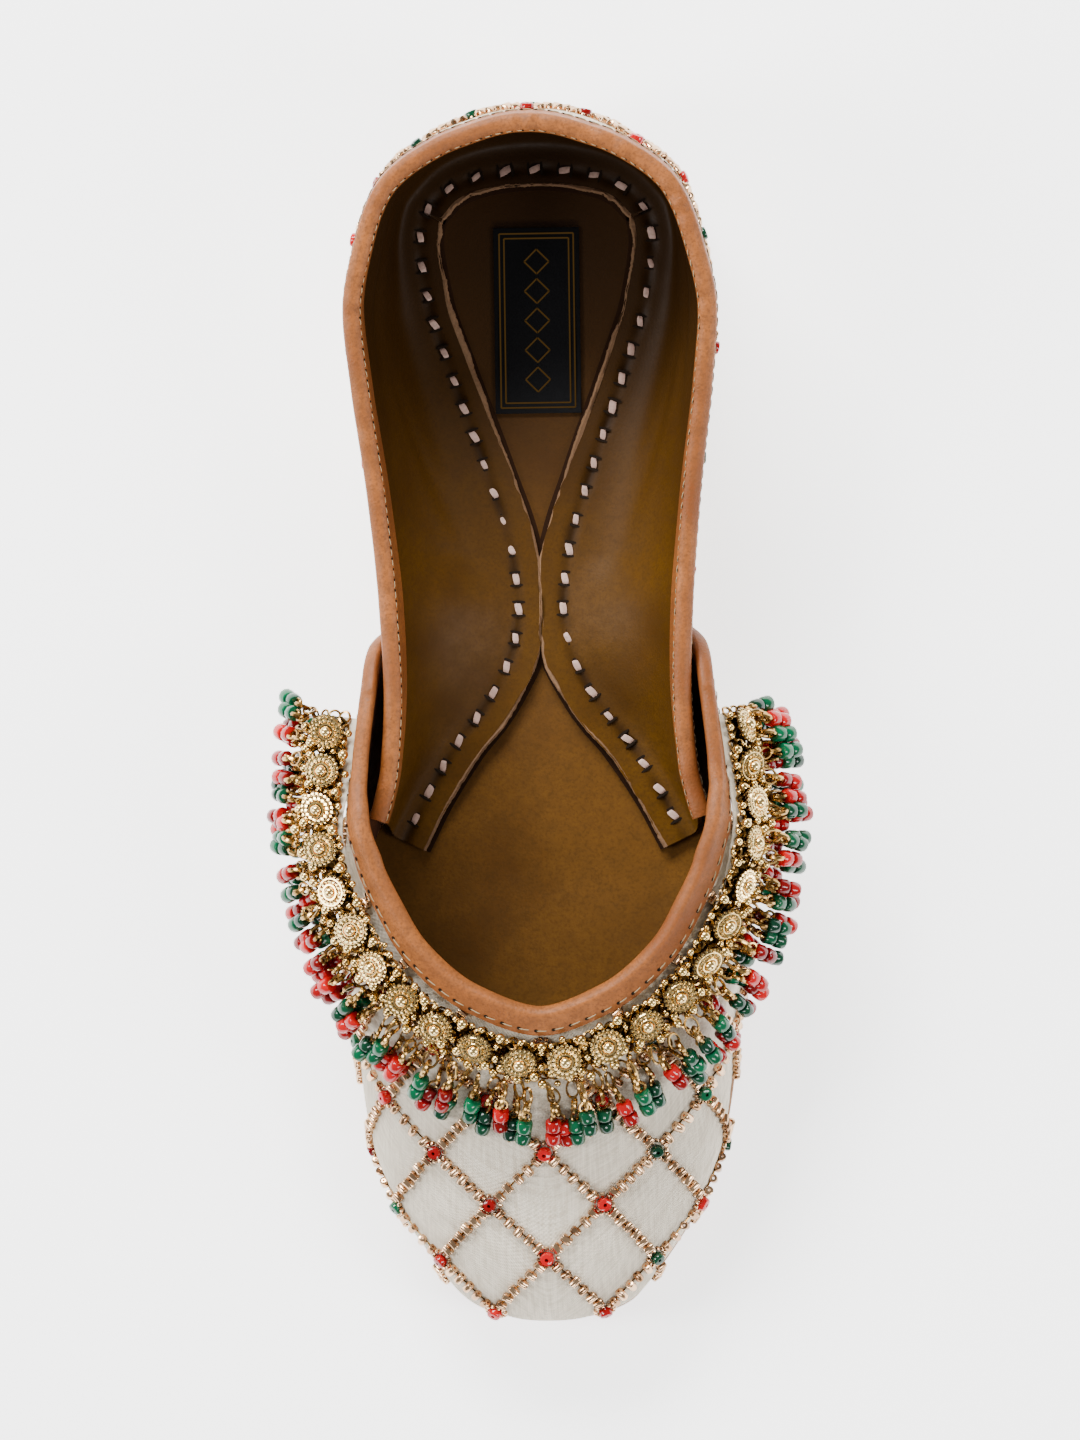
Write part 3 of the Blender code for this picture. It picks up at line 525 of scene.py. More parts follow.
# %% A class for recipes
class Finish:
    def __init__(self, name, colour, roughness, **plain):
        self.material = bpy.data.materials.new(name)
        self.material.use_nodes = True
        self.nodes = self.material.node_tree.nodes
        self.links = self.material.node_tree.links
        self.shader = self.nodes["Principled BSDF"]
        self.shader.inputs["Base Color"].default_value = (*colour, 1.0)
        self.shader.inputs["Roughness"].default_value = roughness
        for socket, value in plain.items():
            self.shader.inputs[socket.replace("_", " ")].default_value = value
        self.material.diffuse_color = (*colour, 1.0)
        self.last_bump = None

    def node(self, kind, inputs=None, **settings):
        made = self.nodes.new("ShaderNode" + kind)
        for name, value in settings.items():
            setattr(made, name, value)
        for name, value in (inputs or {}).items():
            if isinstance(value, bpy.types.NodeSocket):
                self.links.new(value, made.inputs[name])
            else:
                made.inputs[name].default_value = value
        return made

    def coords(self, stretch=(1, 1, 1), cut=False):
        """Places in metres on the object, or on the flat sheet that it was cut from."""
        if cut:
            source = self.node("UVMap", uv_map="cut").outputs[0]
        else:
            source = self.node("TexCoord").outputs["Object"]
        return self.node("Mapping", {"Vector": source, "Scale": stretch}).outputs[0]

    def noise(self, scale, detail=3.0, stretch=(1, 1, 1), roughness=0.55, distortion=0.0, cut=False):
        inputs = {"Vector": self.coords(stretch, cut), "Scale": scale, "Detail": detail}
        inputs |= {"Roughness": roughness, "Distortion": distortion}
        return self.node("TexNoise", inputs).outputs[0]

    def cells(self, scale):
        inputs = {"Vector": self.coords(), "Scale": scale}
        return self.node("TexVoronoi", inputs, feature="DISTANCE_TO_EDGE").outputs[0]

    def maths(self, operation, first, second=0.0):
        return self.node("Math", {0: first, 1: second}, operation=operation).outputs[0]

    def ramp(self, value, *stops):
        made = self.node("ValToRGB", {"Fac": value})
        elements = made.color_ramp.elements
        while len(elements) < len(stops):
            elements.new(0.5)
        for element, (place, colour) in zip(elements, stops):
            element.position = place
            element.color = (*colour, 1.0)
        return made.outputs[0]

    def blend(self, share, first, second):
        made = self.node("Mix", data_type="RGBA")
        self.links.new(share, made.inputs[0])
        for socket, value in ((made.inputs[6], first), (made.inputs[7], second)):
            if isinstance(value, bpy.types.NodeSocket):
                self.links.new(value, socket)
            else:
                socket.default_value = (*value, 1.0)
        return made.outputs[2]

    def colour(self, socket):
        self.links.new(socket, self.shader.inputs["Base Color"])

    def roughness(self, value, low, high):
        spread = self.node("MapRange", {"Value": value, "To Min": low, "To Max": high})
        self.links.new(spread.outputs[0], self.shader.inputs["Roughness"])

    def bump(self, height, depth, strength=1.0):
        made = self.node("Bump", {"Height": height, "Distance": depth, "Strength": strength})
        if self.last_bump:
            self.links.new(self.last_bump, made.inputs["Normal"])
        self.last_bump = made.outputs[0]
        self.links.new(self.last_bump, self.shader.inputs["Normal"])


def shaded(colour, share):
    return tuple(part * share for part in colour)


def grey(level):
    return (level,) * 3


# %% Leathers
# Noise scales over places in metres: the larger, the finer
BLOTCHES, WRINKLES, GRAIN, SPECKLES = 38, 240, 420, 1500
HEEL_SHADE = {"From Min": -0.02, "From Max": 0.095}


def leather(name, colour, dark, roughness, pebble=0.00008, pore=1300, shine=0.35, heel_painted_shade=1.0, mottle=0.45):
    """Grain in cells, wandering creases, pooled and worn colour, and painted shade at the heel and in the
    groove.
    """
    made = Finish(name, colour, roughness, Specular_IOR_Level=shine)
    broad = made.noise(BLOTCHES, 4)
    fine = made.noise(GRAIN, 5)
    speckle = made.ramp(made.noise(SPECKLES, 3), (0.46, grey(0)), (0.66, grey(mottle)))
    body = made.ramp(broad, (0.30, dark), (0.55, colour), (0.80, shaded(colour, 1.12)))
    rubbed = made.ramp(fine, (0.35, grey(0)), (0.72, grey(mottle)))
    body = made.blend(rubbed, body, shaded(colour, 0.55))
    body = made.blend(speckle, body, shaded(colour, 0.50))
    # Painted shade: darker towards the heel, where the heel wall keeps the light off the lining and insole
    if heel_painted_shade < 1.0:
        backward = made.node("SeparateXYZ", {0: made.coords()}).outputs[1]
        heel_shade_share = made.node("MapRange", {"Value": backward, **HEEL_SHADE}).outputs[0]
        body = made.blend(heel_shade_share, body, shaded(dark, heel_painted_shade))
    # Painted shade in the laced groove on the flange, from the groove attribute
    groove = made.node("Attribute", attribute_name="groove").outputs["Fac"]
    made.colour(made.blend(groove, body, shaded(dark, 0.25)))
    made.roughness(fine, roughness - 0.07, roughness + 0.12)
    made.bump(made.cells(pore), pebble, 0.45)
    made.bump(made.noise(WRINKLES, 6, distortion=0.6), 0.00016, 0.45)
    made.bump(broad, 0.0004, 0.25)
    return made.material


tan_leather = leather("tan_leather", (0.295, 0.092, 0.0180), (0.170, 0.042, 0.0065), 0.52, pebble=0.00022,
                      shine=0.30, mottle=0.75)
natural_leather = leather("natural_leather", (0.42, 0.235, 0.130), (0.28, 0.135, 0.065), 0.62)
raw_edge_leather = leather("raw_edge_leather", (0.230, 0.125, 0.062), (0.110, 0.052, 0.021), 0.75)
# The lining and insole get painted shade towards the heel
lining_leather = leather("lining_leather", (0.100, 0.0415, 0.0028), (0.056, 0.0210, 0.0014), 0.50,
                         shine=0.14, heel_painted_shade=0.45)
insole_leather = leather("insole_leather", (0.128, 0.0540, 0.0078), (0.078, 0.0300, 0.0036), 0.52,
                         shine=0.15, heel_painted_shade=0.40)
vamp_lining_leather = leather("vamp_lining_leather", (0.060, 0.018, 0.005), (0.032, 0.009, 0.003), 0.5)
label_leather = leather("label_leather", (0.0035, 0.0035, 0.0045), (0.002, 0.002, 0.0025), 0.6, shine=0.12)
thong_leather = leather("thong_leather", (0.52, 0.345, 0.285), (0.33, 0.19, 0.14), 0.60, pore=2200)


def sole_leather():
    """Deep red and glossy, duller towards the toe, with fine creases across it."""
    red, brown = (0.250, 0.0012, 0.0050), (0.160, 0.0060, 0.0105)
    made = Finish("red_leather", red, 0.30, Specular_IOR_Level=0.35, Coat_Weight=0.15, Coat_Roughness=0.22)
    forward = made.node("SeparateXYZ", {0: made.coords()}).outputs[1]
    towards_toe = made.node("MapRange", {"Value": forward, "From Min": -0.01, "From Max": -0.115}).outputs[0]
    broad = made.noise(30, 5)
    body = made.ramp(broad, (0.28, shaded(red, 0.62)), (0.55, red), (0.82, shaded(red, 1.30)))
    made.colour(made.blend(made.maths("MULTIPLY", towards_toe, 0.75), body, brown))
    made.roughness(made.noise(210, 4), 0.24, 0.44)
    creases = made.noise(70, 5, stretch=(1.0, 3.2, 1.0), distortion=1.4)
    made.bump(made.ramp(creases, (0.47, grey(1)), (0.50, grey(0)), (0.53, grey(1))), 0.00010, 0.22)
    made.bump(made.cells(1100), 0.00005, 0.30)
    made.bump(broad, 0.0005, 0.30)
    return made.material


red_leather = sole_leather()


# %% Cloth, thread, metal and glass
THREAD_SPACING = 0.00100
SLUBS, SLUB_STRETCH = 1300, 0.09


def woven_cloth():
    """Undyed cloth in plain weave: two rows of threads from sine waves over the sheet's own UV map."""
    ecru = (0.745, 0.670, 0.545)
    made = Finish("ecru_cloth", ecru, 0.88, Specular_IOR_Level=0.15)
    spacing = 2 * math.pi / THREAD_SPACING
    parts = made.node("SeparateXYZ", {0: made.coords(cut=True)})
    warp = made.maths("SINE", made.maths("MULTIPLY", parts.outputs[0], spacing))
    weft = made.maths("SINE", made.maths("MULTIPLY", parts.outputs[1], spacing))
    weave = made.maths("MULTIPLY", warp, weft)
    slubs_along = made.noise(SLUBS, 2, (1, SLUB_STRETCH, 1), cut=True)
    slubs_across = made.noise(SLUBS, 2, (SLUB_STRETCH, 1, 1), cut=True)
    slubs = made.maths("MULTIPLY", made.maths("ADD", slubs_along, slubs_across), 0.5)
    tone = made.ramp(made.noise(26, 5), (0.30, shaded(ecru, 0.86)), (0.60, ecru), (0.85, shaded(ecru, 1.07)))
    thick_threads = made.ramp(slubs, (0.42, grey(0)), (0.60, grey(0.80)))
    tone = made.blend(thick_threads, tone, (0.50, 0.43, 0.33))
    over_and_under = made.maths("MULTIPLY", made.maths("ABSOLUTE", weave), 0.34)
    made.colour(made.blend(over_and_under, tone, (0.44, 0.39, 0.31)))
    made.bump(weave, 0.00009, 0.6)
    made.bump(slubs, 0.00012, 0.5)
    made.bump(made.noise(60, 4), 0.0007, 0.4)
    return made.material


def metal(name, colour, dark, roughness, tone_and_shade_from="shade"):
    """Gold or lustred glass. An attribute darkens copies at random; on the rosettes it paints shade in
    recesses.
    """
    made = Finish(name, colour, roughness, Metallic=1.0)
    share = made.node("Attribute", attribute_name=tone_and_shade_from).outputs["Fac"]
    made.colour(made.ramp(share, (0.0, dark), (0.55, colour), (1.0, shaded(colour, 1.12))))
    made.roughness(made.noise(900, 3), roughness - 0.04, roughness + 0.10)
    made.bump(made.noise(1400, 2), 0.00003, 0.10)
    return made.material


def glass(name, colour, deep):
    """Lustred glass: deep in colour, with a hard gloss; shade tells each bead from the next."""
    made = Finish(name, colour, 0.11, Specular_IOR_Level=0.36, Transmission_Weight=0.05, IOR=1.5,
                  Coat_Weight=0.18, Coat_Roughness=0.03)
    shade = made.node("Attribute", attribute_name="shade").outputs["Fac"]
    made.colour(made.ramp(shade, (0.0, deep), (0.6, colour), (1.0, shaded(colour, 1.4))))
    made.bump(made.noise(700, 2), 0.00005, 0.15)
    return made.material


ecru_cloth = woven_cloth()
gold = metal("gold", (0.78, 0.56, 0.220), (0.50, 0.31, 0.090), 0.14)
# Rosette gold: its dark end is painted shade, in the recesses and in the sheet under the lace
rosette_gold = metal("rosette_gold", (0.80, 0.585, 0.250), (0.09, 0.045, 0.010), 0.16, tone_and_shade_from="relief")
gold_wire = metal("gold_wire", (0.42, 0.255, 0.085), (0.20, 0.105, 0.026), 0.20)
champagne = metal("champagne_beads", (0.66, 0.425, 0.250), (0.36, 0.200, 0.105), 0.17)
thread_finish = Finish("ecru_thread", (0.30, 0.215, 0.115), 0.8)
thread_finish.bump(thread_finish.noise(2600, 2, stretch=(1, 1, 4)), 0.0001, 0.5)
thread = thread_finish.material
tape_finish = Finish("ecru_tape", (0.66, 0.59, 0.47), 0.9, Specular_IOR_Level=0.15)
tape_finish.bump(tape_finish.noise(1600, 3), 0.00008, 0.5)
ecru_tape = tape_finish.material
needle_dark = Finish("needle_dark", (0.012, 0.007, 0.004), 0.9, Specular_IOR_Level=0.1).material
# Painted shadow for the gap beside the flange's edge
painted_gap_shadow = Finish("painted_gap_shadow", (0.020, 0.008, 0.003), 0.9, Specular_IOR_Level=0.1).material
red_glass = glass("red_glass", (0.38, 0.0018, 0.0040), (0.13, 0.0004, 0.0010))
green_glass = glass("green_glass", (0.0008, 0.075, 0.028), (0.0003, 0.024, 0.010))
print("finishes:", len(bpy.data.materials))

# %% [markdown]
# ## The sole, layer by layer
# From the floor up: a heel piece, an outsole of one red hourglass, a natural leather rand, and the brown
# insole. Each is cut from flat leather, so each is a deck between two outlines with a rounded edge. The
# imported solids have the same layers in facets; these fine ones stand for them.

# %% Layers of the sole
EDGE_ROUND = 0.0007


def on_floor(turn):
    return 0 * turn


def sole_layer(name, out, low, high, finish, end_turn=math.pi, rounding=EDGE_ROUND, steps=170):
    turns = np.linspace(0.0, end_turn, steps)
    angles = np.linspace(0.0, math.pi / 2, 5)
    rings = [(out - rounding * (1 - math.sin(a)), low, rounding * (1 - math.cos(a))) for a in angles]
    rings += [(out - rounding * (1 - math.cos(a)), high, -rounding * (1 - math.sin(a))) for a in angles]
    points, faces = [], []
    for side in (-1, 1):
        for reach, height, lift in rings:
            points.append(outline_point(side * turns, np.full(steps, reach), height(turns) + lift))
    count = len(rings)
    for side in range(2):
        faces += grid_quads(count, steps, side * count * steps)
    left, right = 0, count * steps
    for row in (0, count - 1):
        for i in range(steps - 1):
            a, b = left + row * steps + i, right + row * steps + i
            faces.append((a, a + 1, b + 1, b))
    for row in range(count - 1):
        a, b = left + (row + 1) * steps - 1, right + (row + 1) * steps - 1
        faces.append((a, b, b + steps, a + steps))
    piece = add_mesh(name, np.concatenate(points), faces, finish, 40)
    shape = bmesh.new()
    shape.from_mesh(piece.data)
    bmesh.ops.remove_doubles(shape, verts=shape.verts, dist=FINE_GAP)
    bmesh.ops.recalc_face_normals(shape, faces=shape.faces)
    shape.to_mesh(piece.data)
    shape.free()
    return piece


heel_turn = float(turn_of(HEEL_PIECE_REACH))
heel_piece = sole_layer("heel_lift", 0.0, on_floor, lambda t: on_floor(t) + HEEL_PIECE_THICKNESS,
                        red_leather, heel_turn)
outsole = sole_layer("red_outsole", 0.0, underside, outsole_top, red_leather)
outsole_cut = sole_layer("outsole_cut_edge", 0.00015, lambda t: underside(t) + 0.0007,
                         lambda t: outsole_top(t) - 0.0003, natural_leather, rounding=0.0002)
rand = sole_layer("rand", RAND_STANDS_OUT, lambda t: outsole_top(t) + GAP, midsole_top, natural_leather,
                  rounding=0.0005)
footbed = sole_layer("footbed", -0.0004, lambda t: midsole_top(t) + GAP, insole_top, insole_leather,
                     rounding=0.0003)
print("sole pieces:", [piece.name for piece in (heel_piece, outsole, outsole_cut, rand, footbed)])

# %% [markdown]
# ## The label on the footbed
# A small black leather patch is glued under the heel. Its gold lettering is left off: it has only a plain
# double border with a row of lozenges, drawn as thin raised lines so that they catch the light.

# %% Label
LABEL_WIDTH, LABEL_LENGTH, LABEL_THICKNESS = 0.018, 0.039, 0.0006
LABEL_MIDDLE = SOLE_MIDDLE + SOLE_LENGTH * (0.5 - 0.160)
LINE_WIDTH, LINE_PROUD, LINE_SUNK = 0.00032, 0.00006, 0.00005
OUTER_BORDER, INNER_BORDER = (0.0078, 0.0183), (0.0068, 0.0173)
LOZENGE, LOZENGE_PITCH = 0.0026, 0.0062


def on_label(x, y, lift=0.0):
    """Points on the patch's top face, from its own middle."""
    x, y = np.broadcast_arrays(np.asarray(x, float), np.asarray(y, float))
    turn = turn_of(0.5 - (LABEL_MIDDLE + y - SOLE_MIDDLE) / SOLE_LENGTH)
    return np.stack([x, LABEL_MIDDLE + y, insole_top(turn) + GAP + LABEL_THICKNESS + lift], -1)


label_across = np.linspace(-1, 1, 13) * LABEL_WIDTH / 2
label_along = np.linspace(-1, 1, 27) * LABEL_LENGTH / 2
across, along = np.meshgrid(label_across, label_along)
label = sheet("label_patch", on_label(across, along), label_leather,
              on_label(across, along, -LABEL_THICKNESS))


def ribbon_points(corners, width):
    """Quads of a flat line through corners on the label, a little proud of it."""
    points, faces = [], []
    for (x0, y0), (x1, y1) in zip(corners, corners[1:]):
        reach = math.hypot(x1 - x0, y1 - y0)
        nx, ny = (y0 - y1) / reach * width / 2, (x1 - x0) / reach * width / 2
        start = len(points)
        around = ((x0 + nx, y0 + ny), (x1 + nx, y1 + ny), (x1 - nx, y1 - ny), (x0 - nx, y0 - ny))
        for lift in (LINE_PROUD, -LINE_SUNK):
            points += [on_label(x, y, lift) for x, y in around]
        faces.append((start, start + 1, start + 2, start + 3))
        faces.append((start + 7, start + 6, start + 5, start + 4))
        for i in range(4):
            j = (i + 1) % 4
            faces.append((start + i, start + 4 + i, start + 4 + j, start + j))
    return points, faces


def rectangle(w, h):
    return [(-w, -h), (w, -h), (w, h), (-w, h), (-w, -h)]


def lozenge(y, half):
    return [(-half, y), (0.0, y - half), (half, y), (0.0, y + half), (-half, y)]


motifs = [rectangle(*OUTER_BORDER), rectangle(*INNER_BORDER)]
motifs += [lozenge(y, LOZENGE) for y in np.arange(-2, 3) * LOZENGE_PITCH]
border_points, border_faces = [], []
for corners in motifs:
    points, faces = ribbon_points(corners, LINE_WIDTH)
    border_faces += [tuple(i + len(border_points) for i in face) for face in faces]
    border_points += points
label_border = add_mesh("label_border", border_points, border_faces, gold_wire)
print("label:", label.name, label_border.name, "motifs:", len(motifs))

# %% [markdown]
# ## The quarter
# The back part is cloth outside and leather inside, pasted together. At the bottom the leather turns in
# as a flange that lies on the footbed, with a raw pale edge. One function gives both faces: the cloth
# takes the form's own face, and the lining takes the face inside it, rounded where it turns in.

# %% Creases placed one by one
# Soft leather keeps the marks of the hand and the foot, so each one below has its own place and depth
def creases(across, along, rows):
    """Soft troughs with a low ridge on each side: place, place, turn in degrees, length, width, depth."""
    height = np.zeros_like(across)
    for x, y, turned, length, width, depth in rows:
        angle = math.radians(turned)
        on = (across - x) * math.cos(angle) + (along - y) * math.sin(angle)
        off = ((along - y) * math.cos(angle) - (across - x) * math.sin(angle)) / width
        height -= depth * (1 - 1.2 * off**2) * np.exp(-(off**2) - (2 * on / length) ** 2)
    return height


# %% Quarter cloth and lining
quarter_end = float(turn_of(QUARTER_ENDS))
QUARTER_STEPS = 321
BACK_SEAM = QUARTER_STEPS // 2
quarter_turns = np.linspace(-quarter_end, quarter_end, QUARTER_STEPS)
CLOTH, LINING = 0.0006, 0.0009
SWELLS, ANY_PHASE = 14, 6.28


def soft_dents(grid, size, depth, seed):
    """Slow random swells, in metres, for leather that hands have shaped."""
    waves = np.random.default_rng(seed).normal(0, 1, (SWELLS, 3)) / size
    phases = np.random.default_rng(seed + 1).uniform(0, ANY_PHASE, SWELLS)
    return sum(np.sin(grid @ wave + phase) for wave, phase in zip(waves, phases)) * depth / SWELLS


def flange_reach(turns, share):
    reach = UPPER_INSET + QUARTER_WALL + FLANGE_WIDTH * share
    room = np.where(along_of(turns) > HEEL_PIECE_REACH, sole_half(np.abs(turns)) - GAP / 2, 1.0)
    return np.minimum(reach, room)


rises = np.linspace(0.0, 1.0, 48)
cloth_face = form_point(quarter_turns[None, :], rises[:, None])
cloth_dents = soft_dents(cloth_face, size=0.012, depth=0.0006, seed=3)
cloth_face += form_normal(quarter_turns[None, :], rises[:, None]) * cloth_dents[..., None]
quarter_cloth = sheet("quarter_cloth", cloth_face, ecru_cloth, cloth_face - grid_normals(cloth_face) * CLOTH)

lining_rows = []
for share in (1.0, 0.9, 0.6, 0.3, 0.05):
    ripple = 0.00025 * np.sin(quarter_turns * 90 + 3 * np.sin(quarter_turns * 31)) * (share == 1.0)
    height = on_insole(quarter_turns) + QUARTER_WALL
    lining_rows.append(outline_point(quarter_turns, -flange_reach(quarter_turns, share) + ripple, height))
for rise in (0.10, 0.22, 0.36, 0.52, 0.68, 0.84, 1.0):
    row = form_point(quarter_turns, rise, np.full_like(quarter_turns, -QUARTER_WALL))
    row[:, 2] = np.maximum(row[:, 2], on_insole(quarter_turns) + QUARTER_WALL)
    lining_rows.append(row)
lining_face = rounded_rows(np.array(lining_rows), 70)
lining_inwards = -grid_normals(lining_face)
facing = (lining_inwards * (np.array((0.0, 0.0, 0.03)) - lining_face)).sum(-1)
lining_inwards = lining_inwards * np.where(np.median(facing) < 0, -1.0, 1.0)
lining_dents = soft_dents(lining_face, size=0.009, depth=0.0012, seed=5)
lining_face = lining_face + lining_inwards * lining_dents[..., None]
WALL_CREASES = (
    (0.050, 0.020, 8, 0.060, 0.0030, 0.0006), (0.085, 0.016, -6, 0.050, 0.0024, 0.0005),
    (-0.055, 0.022, -9, 0.055, 0.0030, 0.0006), (-0.100, 0.014, 12, 0.045, 0.0022, 0.0005),
    (0.010, 0.026, 62, 0.020, 0.0016, 0.0004), (-0.018, 0.024, -58, 0.020, 0.0016, 0.0004),
)
round_wall = run_along(lining_face, 1)
round_wall -= round_wall[:, BACK_SEAM:BACK_SEAM + 1]
on_wall = np.clip((lining_face[..., 2] - 0.013) / 0.006, 0.0, 1.0)
wall_creases = creases(round_wall, lining_face[..., 2], WALL_CREASES) * on_wall
lining_face = lining_face + lining_inwards * wall_creases[..., None]


THONG_ROW_AT = (0.0, 0.05, 0.3, 0.42, 0.55)
THONG_ROW_INSIDE = (0.0082, 0.0078, 0.0066, 0.0058, 0.0068)
GROOVE_HALF, GROOVE_DEPTH = 0.0011, 0.0004


def thong_row(turns):
    """How far inside the sole's outline the laced row on the flange runs."""
    return np.interp(along_of(turns), THONG_ROW_AT, THONG_ROW_INSIDE)


row_line = outline_point(quarter_turns, -thong_row(quarter_turns), on_insole(quarter_turns) + QUARTER_WALL)
off_row = np.linalg.norm((lining_face - row_line[None])[..., :2], axis=-1)
groove = np.exp(-(off_row / GROOVE_HALF) ** 2)
pucker = 1 + 0.5 * np.sin(quarter_turns * 61)[None, :]
lining_face = lining_face - lining_inwards * (groove * pucker * GROOVE_DEPTH)[..., None]
quarter_lining = sheet("quarter_lining", lining_face, lining_leather, lining_face - lining_inwards * LINING)
# The groove attribute darkens the lining along the laced row: painted shade in the groove and its puckers
painted_groove_shade = quarter_lining.data.attributes.new("groove", "FLOAT", "POINT")
painted_groove_shade.data.foreach_set("value", np.tile((groove * 0.8 * pucker / 1.5).ravel(), 2).astype(np.float32))
print("quarter cloth height at the heel, mm:", round(float(cloth_face[-1, BACK_SEAM, 2]) * 1000, 1))

# %% The flange's raw edge and the painted shadow beside it
EDGE_STEPS = 700
edge_turns = np.linspace(-quarter_end, quarter_end, EDGE_STEPS)
torn_at = np.arange(0, EDGE_STEPS, 9)
slow = np.interp(np.arange(EDGE_STEPS), torn_at, chance.normal(size=len(torn_at)))
ragged = 0.00022 * slow + 0.00006 * chance.normal(size=EDGE_STEPS)
low = on_insole(edge_turns) + 0.0002
edge_reach = flange_reach(edge_turns, 1.0)
edge_rows = [
    outline_point(edge_turns, -edge_reach - 0.00030 + ragged * 0.5, low),
    outline_point(edge_turns, -edge_reach - 0.00034 + ragged, low + QUARTER_WALL * 0.75),
    outline_point(edge_turns, -edge_reach + 0.00010 + ragged, low + QUARTER_WALL * 0.98),
    outline_point(edge_turns, -edge_reach + 0.00060, low + QUARTER_WALL * 0.80),
    outline_point(edge_turns, -edge_reach + 0.00060, low),
]
flange_edge = strip("flange_raw_edge", np.array(edge_rows).transpose(1, 0, 2), raw_edge_leather)
# A thin dark strip on the insole just past the flange's edge paints the shadow under it
shadow_gap_rows = [outline_point(edge_turns, -edge_reach + out, insole_top(edge_turns) + high)
            for out, high in ((-0.0012, 0.0), (-0.0009, 0.00010), (0.0004, 0.00010), (0.0004, 0.0))]
flange_painted_shadow = strip("flange_shadow_gap", np.array(shadow_gap_rows).transpose(1, 0, 2), painted_gap_shadow)
print("flange:", flange_edge.name, flange_painted_shadow.name)

# %% [markdown]
# ## The vamp
# The front part is one arched wall. Its cloth is pulled over a stiff lining, so it is taut on top and
# puckers a little low down at the waist, where it bends most. Between the bead lines it swells by a
# fraction of a millimetre, as cloth does when it is stitched down along a lattice.

# %% Vamp cloth and lining
LATTICE_ACROSS = 0.0117
LATTICE_ALONG = 0.01125
LATTICE_START = -0.0896
VAMP_CROWDED, TOE_STOP, LINING_TOE_STOP = 1.2, 0.997, 0.996
PUCKER_WAVES, PUCKER_DEPTH = (620, 260), 0.00030
QUILT_SWELL = 0.00035


def quilted(u, y):
    """Share of the swell between bead lines that run both ways through the lattice's nodes."""
    a = (u / LATTICE_ACROSS + (y - LATTICE_START) / LATTICE_ALONG) / 2
    b = (u / LATTICE_ACROSS - (y - LATTICE_START) / LATTICE_ALONG) / 2
    return np.minimum(np.abs(np.sin(math.pi * a)), np.abs(np.sin(math.pi * b))) ** 0.5


across_rows = np.linspace(-1.0, 1.0, 241)
forward_rows = np.linspace(0.0, 1.0, 130) ** VAMP_CROWDED * TOE_STOP
vamp_face = vamp_point(across_rows[None, :], forward_rows[:, None], VAMP_WALL)
middle = len(across_rows) // 2
run = run_along(vamp_face, 1)
vamp_u = run - run[:, middle][:, None]
vamp_out = form_normal(*vamp_place(across_rows[None, :], forward_rows[:, None]))
vamp_dents = soft_dents(vamp_face, size=0.010, depth=0.0007, seed=11)
swell = QUILT_SWELL * quilted(vamp_u, vamp_face[..., 1]) + vamp_dents
low_side = np.clip((np.abs(across_rows)[None, :] - 0.45) / 0.4, 0, 1) * np.exp(-forward_rows[:, None] * 5)
pucker_waves = vamp_face[..., 1] * PUCKER_WAVES[0] + vamp_face[..., 2] * PUCKER_WAVES[1]
puckers = np.sin(pucker_waves) * low_side * PUCKER_DEPTH
VAMP_CREASES = (
    (0.052, -0.036, 28, 0.034, 0.0020, 0.0008), (0.060, -0.050, 20, 0.026, 0.0017, 0.0006),
    (0.046, -0.058, 40, 0.024, 0.0017, 0.0004), (-0.053, -0.034, -26, 0.032, 0.0020, 0.0008),
    (-0.061, -0.047, -18, 0.028, 0.0017, 0.0006), (-0.044, -0.060, -42, 0.022, 0.0017, 0.0004),
    (0.012, -0.098, 8, 0.022, 0.0026, 0.0004), (-0.020, -0.106, -14, 0.018, 0.0022, 0.0003),
)
swell += creases(vamp_u, vamp_face[..., 1], VAMP_CREASES)
fade = np.clip(forward_rows * 14, 0, 1)[:, None] * np.clip((1 - forward_rows) * 12, 0, 1)[:, None]
relief_out = vamp_out * ((swell + puckers) * fade)[..., None]
vamp_cloth = sheet("vamp_cloth", vamp_face + relief_out, ecru_cloth, vamp_face - vamp_out * CLOTH)
lining_across = np.linspace(-1.0, 1.0, 161)
lining_forward = np.linspace(0.0, 1.0, 90) ** VAMP_CROWDED * LINING_TOE_STOP
lining_grid = vamp_point(lining_across[None, :], lining_forward[:, None], 0.0)
lining_out = form_normal(*vamp_place(lining_across[None, :], lining_forward[:, None]))
vamp_lining = sheet("vamp_lining", lining_grid, vamp_lining_leather, lining_grid + lining_out * LINING)
print("vamp points:", vamp_face.shape[0] * vamp_face.shape[1])

# %% [markdown]
# ## Bindings
# A strip of tan leather is folded over the quarter's top edge, and another over the vamp's. A curve with a
# bevel would give a round cord; a folded strip is flat on its two faces and round only over the edge. So
# its section is drawn once as pairs of (down the wall, off the wall), and swept along the edge.


# %% Sections of a folded strip
HEM_TUCK = 0.0001


def folded_section(outside, inside, middle, reach_out, reach_in, roll):
    """Pairs of (down, out) round a folded strip, from its outer hem over the edge to its inner hem."""
    bead = [(outside, middle + reach_out - HEM_TUCK), (outside * 0.7, middle + reach_out)]
    bead += [(outside * 0.35, middle + reach_out), (roll * 0.5, middle + reach_out)]
    for angle in np.linspace(0.0, math.pi, 11):
        side = reach_out if math.cos(angle) > 0 else reach_in
        bead.append((-roll * math.sin(angle), middle + side * math.cos(angle)))
    bead += [(roll * 0.5, middle - reach_in), (inside * 0.5, middle - reach_in)]
    bead.append((inside, middle - reach_in + HEM_TUCK))
    skin = BINDING_LEATHER * 0.8
    back = [(inside, middle - reach_in + skin), (0.0, middle - reach_in + skin)]
    back += [(0.0, middle + reach_out - skin), (outside, middle + reach_out - skin)]
    return bead + back


